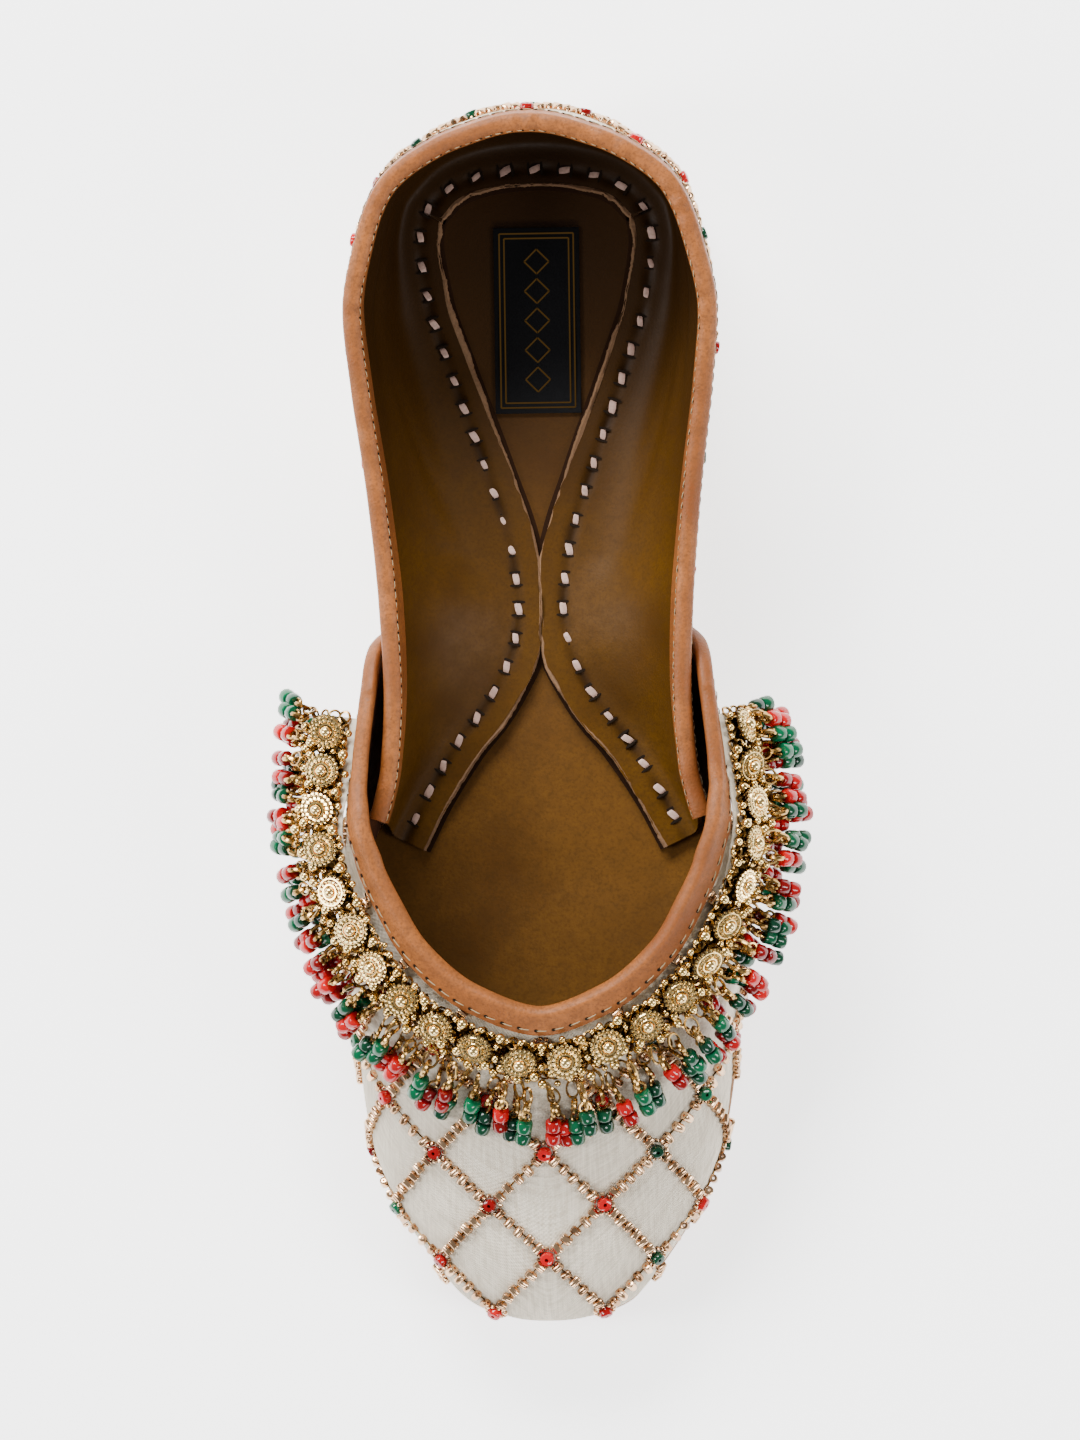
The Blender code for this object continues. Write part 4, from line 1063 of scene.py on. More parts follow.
COLLAR_OUTSIDE, COLLAR_INSIDE, COLLAR_ROLL = 0.0042, 0.0068, 0.0014
collar_turns = np.linspace(-quarter_end, quarter_end, 361)


def wall_length(turns):
    """How long the wall would be if it all ran like its top tenth."""
    return np.linalg.norm(form(turns, 1.0) - form(turns, 0.9), axis=-1) * 10


def collar_place(turns, down, out, length):
    rise = 1.0 - np.maximum(down, 0.0) / length
    point = form_point(turns, rise, out * np.ones_like(turns))
    point[..., 2] += np.maximum(-down, 0.0)
    return point


reach = QUARTER_WALL / 2 + GAP + BINDING_LEATHER
collar_pairs = folded_section(COLLAR_OUTSIDE, COLLAR_INSIDE, -QUARTER_WALL / 2, reach, reach, COLLAR_ROLL)
collar_wall = wall_length(collar_turns)
collar_sections = np.stack([collar_place(collar_turns, d, o, collar_wall) for d, o in collar_pairs], 1)
wobble = 0.00018 * np.sin(collar_turns * 61 + 2 * np.sin(collar_turns * 23))
collar_sections[..., 2] += wobble[:, None]
collar_binding = strip("collar_strip", collar_sections, tan_leather)

VAMP_OUTSIDE, VAMP_INSIDE, VAMP_ROLL = 0.0044, 0.0026, 0.0013
binding_across = np.linspace(-BINDING_ENDS, BINDING_ENDS, 421)
vamp_pairs = folded_section(VAMP_OUTSIDE, VAMP_INSIDE, VAMP_WALL / 2, FACING_TOP - VAMP_WALL / 2,
                            VAMP_WALL / 2 + HEM_TUCK, VAMP_ROLL)
ones = np.ones_like(binding_across)
vamp_sections = np.stack([beside_edge(binding_across, d * ones, o * ones) for d, o in vamp_pairs], 1)
vamp_binding = strip("throat_strip", vamp_sections, tan_leather)
print("binding sections:", len(collar_sections), len(vamp_sections))

# %% [markdown]
# ## Two node trees that repeat things
# Stitches, beads, rings and rosettes are hundreds of copies. Duplicating objects in Python would work, but
# Geometry Nodes say the rule itself: one tree walks along a path at a pitch, the other stands on given
# points. Both stand each copy up by one attribute and turn it along its path, or along a second attribute.
# They give it a random shade and lean, and end as a plain mesh.


# %% A tree that sets copies along a path or on points
TREE_INPUTS = (
    ("Pitch", "Float", 0.003), ("Piece", "Object", None), ("Size", "Float", 1.0), ("Uneven", "Float", 0.0),
    ("Tilt", "Float", 0.0), ("Seed", "Int", 1), ("Finish", "Material", None),
)


def copies_tree(name, along_path):
    tree = bpy.data.node_groups.new(name, "GeometryNodeTree")
    face = tree.interface
    face.new_socket("Geometry", in_out="INPUT", socket_type="NodeSocketGeometry")
    for label_text, kind, value in TREE_INPUTS:
        socket = face.new_socket(label_text, in_out="INPUT", socket_type="NodeSocket" + kind)
        if value is not None:
            socket.default_value = value
    face.new_socket("Geometry", in_out="OUTPUT", socket_type="NodeSocketGeometry")

    def node(kind, **settings):
        made = tree.nodes.new(kind)
        for key, value in settings.items():
            setattr(made, key, value)
        return made

    def live(sockets, label_text):
        return next(s for s in sockets if s.name == label_text and s.enabled)

    def named_vector(label_text):
        made = node("GeometryNodeInputNamedAttribute", data_type="FLOAT_VECTOR")
        made.inputs["Name"].default_value = label_text
        return live(made.outputs, "Attribute")

    link = tree.links.new
    given, result = node("NodeGroupInput"), node("NodeGroupOutput")
    if along_path:
        curve = node("GeometryNodeMeshToCurve")
        places = node("GeometryNodeResampleCurve", mode="LENGTH")
        link(given.outputs["Geometry"], curve.inputs[0])
        link(curve.outputs[0], places.inputs["Curve"])
        link(given.outputs["Pitch"], places.inputs["Length"])
        heading = node("GeometryNodeInputTangent").outputs[0]
    else:
        places = node("GeometryNodeMeshToPoints")
        link(given.outputs["Geometry"], places.inputs[0])
        heading = named_vector("along")
    upright = node("FunctionNodeAlignRotationToVector", axis="Z")
    link(named_vector("up"), upright.inputs["Vector"])
    aim = node("FunctionNodeAlignRotationToVector", axis="X", pivot_axis="Z")
    link(upright.outputs[0], aim.inputs["Rotation"])
    link(heading, aim.inputs["Vector"])
    sway = node("FunctionNodeRandomValue", data_type="FLOAT_VECTOR")
    live(sway.inputs, "Min").default_value = (-1, -1, -1)
    link(given.outputs["Seed"], sway.inputs["Seed"])
    tilt = node("ShaderNodeVectorMath", operation="SCALE")
    link(live(sway.outputs, "Value"), tilt.inputs[0])
    link(given.outputs["Tilt"], tilt.inputs["Scale"])
    euler = node("FunctionNodeEulerToRotation")
    link(tilt.outputs[0], euler.inputs[0])
    turned = node("FunctionNodeRotateRotation", rotation_space="LOCAL")
    link(aim.outputs[0], turned.inputs[0])
    link(euler.outputs[0], turned.inputs[1])
    grow = node("FunctionNodeRandomValue", data_type="FLOAT")
    least = node("ShaderNodeMath", operation="SUBTRACT")
    least.inputs[0].default_value = 1.0
    link(given.outputs["Uneven"], least.inputs[1])
    link(least.outputs[0], live(grow.inputs, "Min"))
    live(grow.inputs, "Max").default_value = 1.0
    link(given.outputs["Seed"], grow.inputs["Seed"])
    size = node("ShaderNodeMath", operation="MULTIPLY")
    link(live(grow.outputs, "Value"), size.inputs[0])
    link(given.outputs["Size"], size.inputs[1])
    source = node("GeometryNodeObjectInfo")
    link(given.outputs["Piece"], source.inputs["Object"])
    copies = node("GeometryNodeInstanceOnPoints")
    link(places.outputs[0], copies.inputs["Points"])
    link(source.outputs["Geometry"], copies.inputs["Instance"])
    link(turned.outputs[0], copies.inputs["Rotation"])
    link(size.outputs[0], copies.inputs["Scale"])
    shade = node("FunctionNodeRandomValue", data_type="FLOAT")
    link(given.outputs["Seed"], shade.inputs["Seed"])
    keep = node("GeometryNodeStoreNamedAttribute", data_type="FLOAT", domain="INSTANCE")
    keep.inputs["Name"].default_value = "shade"
    link(copies.outputs[0], keep.inputs["Geometry"])
    link(live(shade.outputs, "Value"), live(keep.inputs, "Value"))
    plain = node("GeometryNodeRealizeInstances")
    link(keep.outputs[0], plain.inputs[0])
    painted = node("GeometryNodeSetMaterial")
    link(plain.outputs[0], painted.inputs["Geometry"])
    link(given.outputs["Finish"], painted.inputs["Material"])
    link(painted.outputs[0], result.inputs[0])
    return tree


walk_tree = copies_tree("copies_along_a_path", True)
stand_tree = copies_tree("copies_on_points", False)


# %% Running a tree and keeping its result as a plain mesh
def carrier(paths, ups, alongs=None):
    """A mesh of points, joined into paths where there are several in one, with aiming attributes."""
    data = bpy.data.meshes.new("carrier")
    points = np.concatenate(paths)
    edges, start = [], 0
    for path in paths:
        edges += [(start + i, start + i + 1) for i in range(len(path) - 1)]
        start += len(path)
    data.from_pydata(points.tolist(), edges, [])
    for label_text, vectors in (("up", ups), ("along", alongs)):
        if vectors is not None:
            layer = data.attributes.new(label_text, "FLOAT_VECTOR", "POINT")
            layer.data.foreach_set("vector", np.concatenate(vectors).astype(np.float32).ravel())
    made = bpy.data.objects.new("carrier", data)
    bpy.context.scene.collection.objects.link(made)
    return made


def run_tree(name, tree, holder, **inputs):
    modifier = holder.modifiers.new("copies", "NODES")
    modifier.node_group = tree
    for item in tree.interface.items_tree:
        if item.in_out == "INPUT" and item.name in inputs:
            modifier[item.identifier] = inputs[item.name]
    bpy.context.view_layer.update()
    graph = bpy.context.evaluated_depsgraph_get()
    data = bpy.data.meshes.new_from_object(holder.evaluated_get(graph), depsgraph=graph)
    data.name = name
    data.shade_smooth()
    data.set_sharp_from_angle(angle=math.radians(40))
    made = bpy.data.objects.new(name, data)
    bpy.context.scene.collection.objects.link(made)
    bpy.data.objects.remove(holder)
    return made


def walk(name, paths, ups, piece, pitch, finish, size=1.0, uneven=0.0, tilt=0.0, seed=1):
    return run_tree(name, walk_tree, carrier(paths, ups), Pitch=pitch, Piece=piece, Size=size, Uneven=uneven,
                    Tilt=tilt, Seed=seed, Finish=finish)


def stand(name, points, ups, alongs, piece, finish, size=1.0, uneven=0.0, tilt=0.0, seed=1):
    holder = carrier([p[None, :] for p in points], [u[None, :] for u in ups], [a[None, :] for a in alongs])
    return run_tree(name, stand_tree, holder, Piece=piece, Size=size, Uneven=uneven, Tilt=tilt, Seed=seed,
                    Finish=finish)


# %% Small shapes to copy, each of a few dozen faces
def turned_shape(profile, sides, axis="Z"):
    """A closed ring profile of (radius, height) turned round an axis."""
    angles = np.linspace(0, 2 * math.pi, sides, endpoint=False)
    points = np.array([[(r * math.cos(a), r * math.sin(a), h) for r, h in profile] for a in angles])
    if axis == "Y":
        points = points[..., [0, 2, 1]]
    if axis == "X":
        points = points[..., [2, 1, 0]]
    around = len(profile)
    faces = []
    for i in range(sides):
        for k in range(around):
            a, b = i * around + k, i * around + (k + 1) % around
            c, d = (i + 1) % sides * around + (k + 1) % around, (i + 1) % sides * around + k
            faces.append((a, b, c, d))
    return points.reshape(-1, 3), faces


def ring_shape(radius, wire, sides, around, squeeze=1.0):
    angles = np.linspace(0, 2 * math.pi, around, endpoint=False)
    profile = [(radius + wire * math.cos(a), wire * math.sin(a)) for a in angles]
    points, faces = turned_shape(profile, sides)
    return points * np.array((1.0, squeeze, 1.0)), faces


def ball_shape(radius, detail=2):
    shape = bmesh.new()
    bmesh.ops.create_icosphere(shape, subdivisions=detail, radius=radius)
    points = np.array([v.co[:] for v in shape.verts])
    faces = [tuple(v.index for v in f.verts) for f in shape.faces]
    shape.free()
    return points, faces


def pile(parts):
    """Several shapes, each with an offset, as one."""
    points, faces, start = [], [], 0
    for (part_points, part_faces), offset in parts:
        points.append(part_points + np.asarray(offset))
        faces += [tuple(i + start for i in face) for face in part_faces]
        start += len(part_points)
    return np.concatenate(points), faces


def master(name, shape):
    return add_mesh(name, shape[0], shape[1], None)


RIM_CUT = 0.29


def seed_bead(radius, half_length, hole, rounded=0.30):
    """The ring profile of a short tube with rounded rims, as fire leaves them."""
    soft = rounded * radius
    near = RIM_CUT * soft
    return [(hole, -half_length), (radius - soft, -half_length), (radius - near, -half_length + near),
            (radius, -half_length + soft), (radius, half_length - soft), (radius - near, half_length - near),
            (radius - soft, half_length), (hole, half_length)]


# %% [markdown]
# ## Machine stitches along the bindings
# A sewing machine leaves short dashes with a dark needle hole between them. The path lies on the leather;
# the tree sets a rounded dash at each pitch, and a small dark pit at the same pitch, half a step on.

# %% A dash of thread and its needle hole
def dash(length, radius, steps=7, around=6):
    """A stitch: a thread that dives into the leather at both ends."""
    rings = []
    for place in np.linspace(-1, 1, steps):
        thick = radius * math.sqrt(max(1 - (abs(place) * 0.9) ** 4, 0.05))
        dive = radius * 1.6 * place**4
        for a in np.linspace(0, 2 * math.pi, around, endpoint=False):
            rings.append((place * length / 2, thick * math.cos(a), thick * math.sin(a) - dive))
    return np.array(rings), bar_faces(steps, around)


def dark_cut(half_length, half_width, heights, angles):
    """An oval plate that shows as a hole in the leather."""
    points = [(half_length * math.cos(a), half_width * math.sin(a), h) for h in heights for a in angles]
    return np.array(points), bar_faces(2, len(angles))


stitch_master = master("stitch_master", dash(0.0026, 0.00014))
pit_angles = np.linspace(0, 6.283, 8, endpoint=False)
pit_master = master("pit_master", dark_cut(0.00046, 0.00034, (-0.0001, 0.00004), pit_angles))
print("stitch corners:", len(stitch_master.data.vertices), "hole corners:", len(pit_master.data.vertices))

# %% Machine stitches
STITCH_PITCH, OUTER_PITCH, SHOULDER_PITCH = 0.0036, 0.0029, 0.0022
SHOULDER_SIZE = 0.62
STITCH_PROUD = 0.00012


def seam(name, path, up, pitch, size=1.0):
    """Stitches and their needle holes along one path on a binding."""
    step = np.linalg.norm(np.diff(path, axis=0), axis=1).cumsum()
    later = path[np.searchsorted(step, pitch / 2):]
    stitches = walk(name + "_stitches", [path], [up], stitch_master, pitch, thread, size=size, uneven=0.12,
                    tilt=0.05, seed=4)
    later_up = up[len(up) - len(later):]
    pits = walk(name + "_holes", [later], [later_up], pit_master, pitch, needle_dark, size=size)
    return [stitches, pits]


seams = []
seam_turns = np.linspace(-quarter_end + 0.01, quarter_end - 0.01, 900)
seam_wall = wall_length(seam_turns)
path = collar_place(seam_turns, COLLAR_OUTSIDE - 0.0009, reach - QUARTER_WALL / 2 + STITCH_PROUD, seam_wall)
seams += seam("collar_outer", path, form_normal(seam_turns, 1.0 - COLLAR_OUTSIDE / seam_wall), OUTER_PITCH)
SHOULDER = math.radians(148)
shoulder_down = -COLLAR_ROLL * math.sin(SHOULDER)
shoulder_out = reach * math.cos(SHOULDER) - QUARTER_WALL / 2
path = collar_place(seam_turns, shoulder_down, shoulder_out, seam_wall)
up = unit(np.array((0.0, 0.0, 0.75)) - form_normal(seam_turns, 1.0))
seams += seam("collar_shoulder", path + up * 0.00006, up, SHOULDER_PITCH, size=SHOULDER_SIZE)
seam_across = np.linspace(-BINDING_ENDS + 0.01, BINDING_ENDS - 0.01, 1100)
ones = np.ones_like(seam_across)
path = beside_edge(seam_across, (VAMP_OUTSIDE - 0.0012) * ones, (FACING_TOP + STITCH_PROUD) * ones)
seams += seam("throat", path, form_normal(*vamp_place(seam_across, 0.0)), STITCH_PITCH)
print("machine stitches:", sum(len(piece.data.polygons) for piece in seams), "faces")

# %% [markdown]
# ## Thong stitches
# Sole and upper are held by a strip of raw leather, laced through slits a few millimetres inside the edge.
# Outside it shows as short pale bars on the red sole; inside, as a second row in a groove on the flange.

# %% A thong bar and its two slits
THONG_SECTION = ((-1, -0.0003), (-1, 0.0), (-0.5, 0.00012), (0.5, 0.00012), (1, 0.0), (1, -0.0003))


def thong(length, width, height, steps=9):
    """A flat bar of thong that comes out of a slit, lies over the leather, and goes in again."""
    ring = []
    for place in np.linspace(-1, 1, steps):
        lift = height * (1 - place**4) - height * 0.35 * (abs(place) > 0.9)
        half = width / 2 * (1 - 0.25 * place**2)
        skew = 0.18 * width * place
        for side, drop in THONG_SECTION:
            ring.append((place * length / 2, side * half + skew, lift + drop))
    return np.array(ring), bar_faces(steps, len(THONG_SECTION))


def slits(apart, width):
    """The two dark cuts across the row where the bar dives in."""
    angles = np.linspace(0, 2 * math.pi, 12, endpoint=False)
    cut = dark_cut(0.00036, width / 2, (-0.0002, 0.00014), angles)
    return pile([(cut, (end, 0, 0)) for end in (-apart / 2, apart / 2)])


thong_master = master("thong_master", thong(0.0032, 0.0018, 0.00034))
slit_master = master("slit_master", slits(0.0031, 0.0034))
print("thong corners:", len(thong_master.data.vertices), "slit corners:", len(slit_master.data.vertices))

# %% Thong stitches on the sole and on the flange
THONG_INSET = (
    (0.0, 0.0062), (0.05, 0.0048), (0.2, 0.0045), (0.4, 0.0040), (0.5, 0.0032), (0.95, 0.0030), (1.0, 0.0034),
)
inset_curve = smooth_curve(THONG_INSET)
THONG_PITCH, FLANGE_PITCH = 0.0066, 0.0062
SOLE_PATH_STEPS, FLANGE_PATH_STEPS = 500, 900


def sole_path(start, end, height):
    turns = np.linspace(start, end, SOLE_PATH_STEPS)
    path = outline_point(turns, -inset_curve(along_of(turns)), 0.0)
    path[:, 2] = height(turn_of(0.5 - (path[:, 1] - SOLE_MIDDLE) / SOLE_LENGTH)) - 0.00005
    return path


down_facing = np.tile(np.array((0.0, 0.0, -1.0)), (SOLE_PATH_STEPS, 1))
sole_paths = [sole_path(-heel_turn + 0.02, heel_turn - 0.02, on_floor)]
sole_paths += [sole_path(side * (heel_turn + 0.02), side * 3.135, underside) for side in (-1, 1)]
sole_thongs = walk("sole_thongs", sole_paths, [down_facing] * 3, thong_master, THONG_PITCH, thong_leather,
                   uneven=0.25, tilt=0.16, seed=12)
sole_slits = walk("sole_slits", sole_paths, [down_facing] * 3, slit_master, THONG_PITCH, needle_dark,
                  uneven=0.2, tilt=0.04, seed=12)

flange_turns = np.linspace(-quarter_end + 0.04, quarter_end - 0.04, FLANGE_PATH_STEPS)
flange_height = on_insole(flange_turns) + QUARTER_WALL - 0.0001
flange_path = outline_point(flange_turns, -thong_row(flange_turns), flange_height)
up_facing = np.tile(np.array((0.0, 0.0, 1.0)), (FLANGE_PATH_STEPS, 1))
flange_thongs = walk("flange_thongs", [flange_path], [up_facing], thong_master, FLANGE_PITCH, thong_leather,
                     size=0.88, uneven=0.3, tilt=0.22, seed=5)
flange_slits = walk("flange_slits", [flange_path], [up_facing], slit_master, FLANGE_PITCH, needle_dark,
                    size=0.95, uneven=0.2, tilt=0.04, seed=5)
thongs = [sole_thongs, sole_slits, flange_thongs, flange_slits]
print("thong faces:", sum(len(piece.data.polygons) for piece in thongs))

# %% [markdown]
# ## The bead lattice
# The cloth is crossed by diagonal lines of short champagne beads, each lying across its line. Where two
# lines meet, a ring of tiny beads holds one red or green stone. On flat paper this is a simple grid of
# diamonds, so it is drawn flat, in distances measured over the cloth, and then looked up on the form.


# %% Flat maps of the vamp and the quarter
class FlatMap:
    """Looks up (turn, rise) from places along the shoe and distances down the wall."""

    def __init__(self, turns, rises, surface, place_of):
        grid = surface(turns[:, None], rises[None, :])
        self.turns, self.rises, self.runs = turns, rises, run_along(grid, 1)
        self.places = place_of(grid)
        self.order = np.argsort(self.places)

    def __call__(self, place, run):
        i = np.interp(place, self.places[self.order], np.arange(len(self.order))[self.order])
        low = np.clip(i.astype(int), 0, len(self.turns) - 2)
        share = (i - low)[:, None]
        rows = self.runs[low] * (1 - share) + self.runs[low + 1] * share
        k = np.clip((rows <= run[:, None]).sum(1) - 1, 0, len(self.rises) - 2)
        n = np.arange(len(k))
        part = np.clip((run - rows[n, k]) / (rows[n, k + 1] - rows[n, k]), 0.0, 1.0)
        turn = self.turns[low] * (1 - share[:, 0]) + self.turns[low + 1] * share[:, 0]
        inside = (place >= self.places.min()) & (place <= self.places.max()) & (run <= rows[:, -1])
        return turn, self.rises[k] * (1 - part) + self.rises[k + 1] * part, inside


def vamp_surface(turn, rise):
    return lifted((turn, rise), VAMP_WALL)


MID_WALL_ROW = 30


def distance_round(grid):
    steps = np.linalg.norm(np.diff(grid[:, MID_WALL_ROW], axis=0), axis=1)
    return np.concatenate([[0.0], steps.cumsum()])


def place_on_ridge(grid):
    return grid[:, 0, 1]


vamp_map = FlatMap(np.linspace(1.2, 3.09, 260), np.linspace(2.0, 0.0, 121), vamp_surface, place_on_ridge)
quarter_map = FlatMap(np.linspace(0.0, 1.76, 200), np.linspace(1.0, 0.0, 90), form_point, distance_round)
hem_line = vamp_point(half_way, 0.0, VAMP_WALL)
HEM_ROOM, LAP_ROOM = 0.0008, 0.0040


def clear_of_hem(turn, rise, points):
    """How far forward of the vamp's edge points lie; negative behind it."""
    mirrored = points.copy()
    mirrored[:, 0] = np.abs(points[:, 0])
    near = np.linalg.norm(hem_line[None] - mirrored[:, None], axis=2).min(1)
    edge_turn = np.interp(rise, own_rises[::-1], own_turns[::-1])
    return np.where(np.abs(turn) > edge_turn, near, -near)


def vamp_spots(u, y):
    turn, rise, inside = vamp_map(y, np.abs(u))
    turn = np.where(u < 0, -turn, turn)
    points = vamp_surface(turn, rise)
    inside &= (clear_of_hem(turn, rise, points) > VAMP_OUTSIDE + HEM_ROOM) & (rise > 0.03)
    return points, form_normal(turn, rise), inside


def quarter_spots(u, v):
    turn, rise, inside = quarter_map(np.abs(u), np.maximum(v, 0.0))
    turn = np.where(u < 0, -turn, turn)
    points = form_point(turn, rise)
    inside &= (v > COLLAR_OUTSIDE + HEM_ROOM) & (rise > 0.05) & (clear_of_hem(turn, rise, points) < -LAP_ROOM)
    return points, form_normal(turn, rise), inside


print("vamp half round at the throat, mm:", round(float(vamp_map.runs[120][-1]) * 1000, 1))


# %% Lines between the crossings
QUARTER_ACROSS, QUARTER_DOWN, QUARTER_START = 0.0118, 0.0112, 0.0066
RING_ROOM = 0.0027
SHORTEST_LINE = 3


def lattice(spots, node_of, columns, rows):
    """Paths between neighbouring crossings, and the crossings themselves, that lie on the cloth."""
    paths, ups, crossings = [], [], []
    shares = np.linspace(0, 1, 25)
    for i in columns:
        for j in rows:
            if (i + j) % 2:
                continue
            start = np.array(node_of(i, j))
            for side in (-1, 1):
                flat = start + (np.array(node_of(i + side, j + 1)) - start) * shares[:, None]
                line, outs, good = spots(flat[:, 0], flat[:, 1])
                if side == 1 and good[0]:
                    crossings.append((i, j, line[0], outs[0]))
                run = run_along(line[None], 1)[0]
                good &= (run > RING_ROOM) & (run < run[-1] - RING_ROOM)
                first, last = (np.flatnonzero(good)[[0, -1]] if good.sum() > SHORTEST_LINE else (0, -1))
                if last - first > SHORTEST_LINE:
                    paths.append(line[first:last + 1])
                    ups.append(outs[first:last + 1])
    return paths, ups, crossings


def vamp_node(i, j):
    return i * LATTICE_ACROSS, LATTICE_START - j * LATTICE_ALONG


def quarter_node(i, j):
    return i * QUARTER_ACROSS, QUARTER_START + j * QUARTER_DOWN


vamp_lines, vamp_ups, vamp_crossings = lattice(vamp_spots, vamp_node, range(-6, 7), range(-10, 4))
back_lines, back_ups, back_crossings = lattice(quarter_spots, quarter_node, range(-14, 15), range(-1, 5))
print("lines:", len(vamp_lines), len(back_lines), "crossings:", len(vamp_crossings), len(back_crossings))

# %% Beads, their thread, rings and stones
BEAD_RADIUS, BEAD_HALF, BEAD_PITCH = 0.00098, 0.00118, 0.00230
bead_master = master("bead_master", turned_shape(seed_bead(BEAD_RADIUS, BEAD_HALF, 0.0003, 0.22), 10, "Y"))
bead_master.data.transform(Matrix.Translation((0, 0, BEAD_RADIUS * 0.9)))
stone_master = master("stone_master", turned_shape(seed_bead(0.00150, 0.00100, 0.0004), 12))
stone_master.data.transform(Matrix.Translation((0, 0, 0.0012)))
tiny_master = master("tiny_master", turned_shape(seed_bead(0.00050, 0.00042, 0.00016), 8, "X"))


def raised(lines, ups, lift):
    return [line + up * lift for line, up in zip(lines, ups)]


def tubes(name, paths, ups, radius, finish):
    """Thin thread along paths, four-sided."""
    points, faces = [], []
    for path, up in zip(paths, ups):
        start = sum(len(p) for p in points)
        ahead = unit(np.gradient(path, axis=0))
        side = unit(np.cross(ahead, up))
        spokes = (side * radius, up * radius, -side * radius, -up * radius)
        ring = np.stack([path + spoke for spoke in spokes], 1)
        points.append(ring.reshape(-1, 3))
        faces += bar_faces(len(path), 4, start)
    return add_mesh(name, np.concatenate(points), faces, finish)


# %% The lattice on the vamp and on the quarter
RING_BEADS, RING_RADIUS, RING_LIFT = 11, 0.00205, 0.00055
FORWARDS = (0.31, 0.95, 0.0)
GREEN_ON_VAMP = ((2, 0), (2, 2), (-3, 1), (3, -1), (4, 0))


def is_green_stone(place, i, j):
    """In front the green stones have places of their own; elsewhere a rule shares the two colours out."""
    if place == "vamp" and j >= -1:
        return (i, j) in GREEN_ON_VAMP
    return (i * 7 + j * 3) % 5 in (1, 3)


lattice_pieces = []
for place, lines, ups, crossings in (("vamp", vamp_lines, vamp_ups, vamp_crossings),
                                     ("quarter", back_lines, back_ups, back_crossings)):
    lattice_pieces.append(walk(place + "_line_beads", lines, ups, bead_master, BEAD_PITCH, champagne,
                               uneven=0.14, tilt=0.22, seed=21))
    lattice_pieces.append(tubes(place + "_bead_thread", raised(lines, ups, 0.00025), ups, 0.00022, gold_wire))
    rings, ring_ups, ring_ways, stones = [], [], [], {"red": [], "green": []}
    for i, j, point, up in crossings:
        side = unit(np.cross(up, FORWARDS))
        other = np.cross(up, side)
        for k in range(RING_BEADS):
            angle = 2 * math.pi * k / RING_BEADS
            spoke = side * math.cos(angle) + other * math.sin(angle)
            rings.append(point + spoke * RING_RADIUS + up * RING_LIFT)
            ring_ups.append(up)
            ring_ways.append(np.cross(up, spoke))
        stones["green" if is_green_stone(place, i, j) else "red"].append((point, up, side))
    lattice_pieces.append(stand(place + "_crossing_rings", rings, ring_ups, ring_ways, tiny_master, champagne,
                                uneven=0.15, tilt=0.2, seed=8))
    for colour, finish in (("red", red_glass), ("green", green_glass)):
        points, stone_ups, sides = zip(*stones[colour])
        lattice_pieces.append(stand(f"{place}_{colour}_stones", points, stone_ups, sides, stone_master,
                                    finish, uneven=0.12, tilt=0.25, seed=9))
print("lattice faces:", sum(len(piece.data.polygons) for piece in lattice_pieces))

# %% [markdown]
# ## The rosette chain
# A lace of cast rosettes runs round the throat. Each has a ball in a cup, a ring of grains and a twisted
# rim. It is built once from turned rings and balls, and the tree stands it on each of its places.

# %% One rosette
ROSETTE_CUP = ((0.0002, 0.0001), (0.0034, 0.0001), (0.0034, 0.0004), (0.0018, 0.00075), (0.0002, 0.0003))
GRAIN_SHOWS, GRAIN_SPREAD = 0.0004, 0.0010


def grains_round(count, radius, grain, height):
    """A ring of small balls."""
    return [(ball_shape(grain, 1), (radius * math.cos(a), radius * math.sin(a), height))
            for a in np.linspace(0, 2 * math.pi, count, endpoint=False)]


def rosette():
    """A ball in a cup, a plate with a ring of grains, and a rim of finer ones."""
    parts = [(turned_shape(ROSETTE_CUP, 22), (0, 0, 0))]
    parts.append((ring_shape(0.00155, 0.00028, 22, 6), (0, 0, 0.00105)))
    parts.append((ring_shape(0.00285, 0.00024, 26, 6), (0, 0, 0.00075)))
    parts.append((ball_shape(0.00125, 2), (0, 0, 0.00125)))
    parts += grains_round(16, 0.0023, 0.00052, 0.00085)
    parts += grains_round(22, 0.00325, 0.00050, 0.00045)
    return pile(parts)


rosette_master = master("rosette_master", rosette())
# Lower points of the rosette get darker gold: painted shade in its recesses
high = np.array([vertex.co.z for vertex in rosette_master.data.vertices])
relief = rosette_master.data.attributes.new("relief", "FLOAT", "POINT")
raised_share = np.clip((high - GRAIN_SHOWS) / GRAIN_SPREAD, 0.0, 1.0)
relief.data.foreach_set("value", raised_share.astype(np.float32))
print("rosette corners:", len(high))

# %% Rosettes in their places
CHAIN_OFF = 0.0010
ROSETTE_ACROSS, ROSETTE_LIFT = 0.0043, 0.0018
rosette_shares = (np.arange(ROSETTES) + 0.5) / ROSETTES


def chain_ways(shares):
    """Off the chain's face, and across it, at each share."""
    outwards = trim_frame(shares)[1]
    slope = chain_slope(shares)
    return hanging(outwards, slope, "off"), hanging(outwards, slope, "along")


rosette_points = chain_place(rosette_shares, CHAIN_OFF + ROSETTE_ACROSS, ROSETTE_LIFT)
rosettes = stand("chain_rosettes", rosette_points, *chain_ways(rosette_shares), rosette_master, rosette_gold,
                 size=1.04, uneven=0.05, tilt=0.24, seed=31)
print("rosettes:", len(rosette_points))

# %% [markdown]
# ## Balls between the rosettes
# Small gold balls link each rosette to the next along both edges, and smaller ones fill the gaps. They are
# soldered by hand, so no two sit quite alike, and each is moved by a fraction of a millimetre.

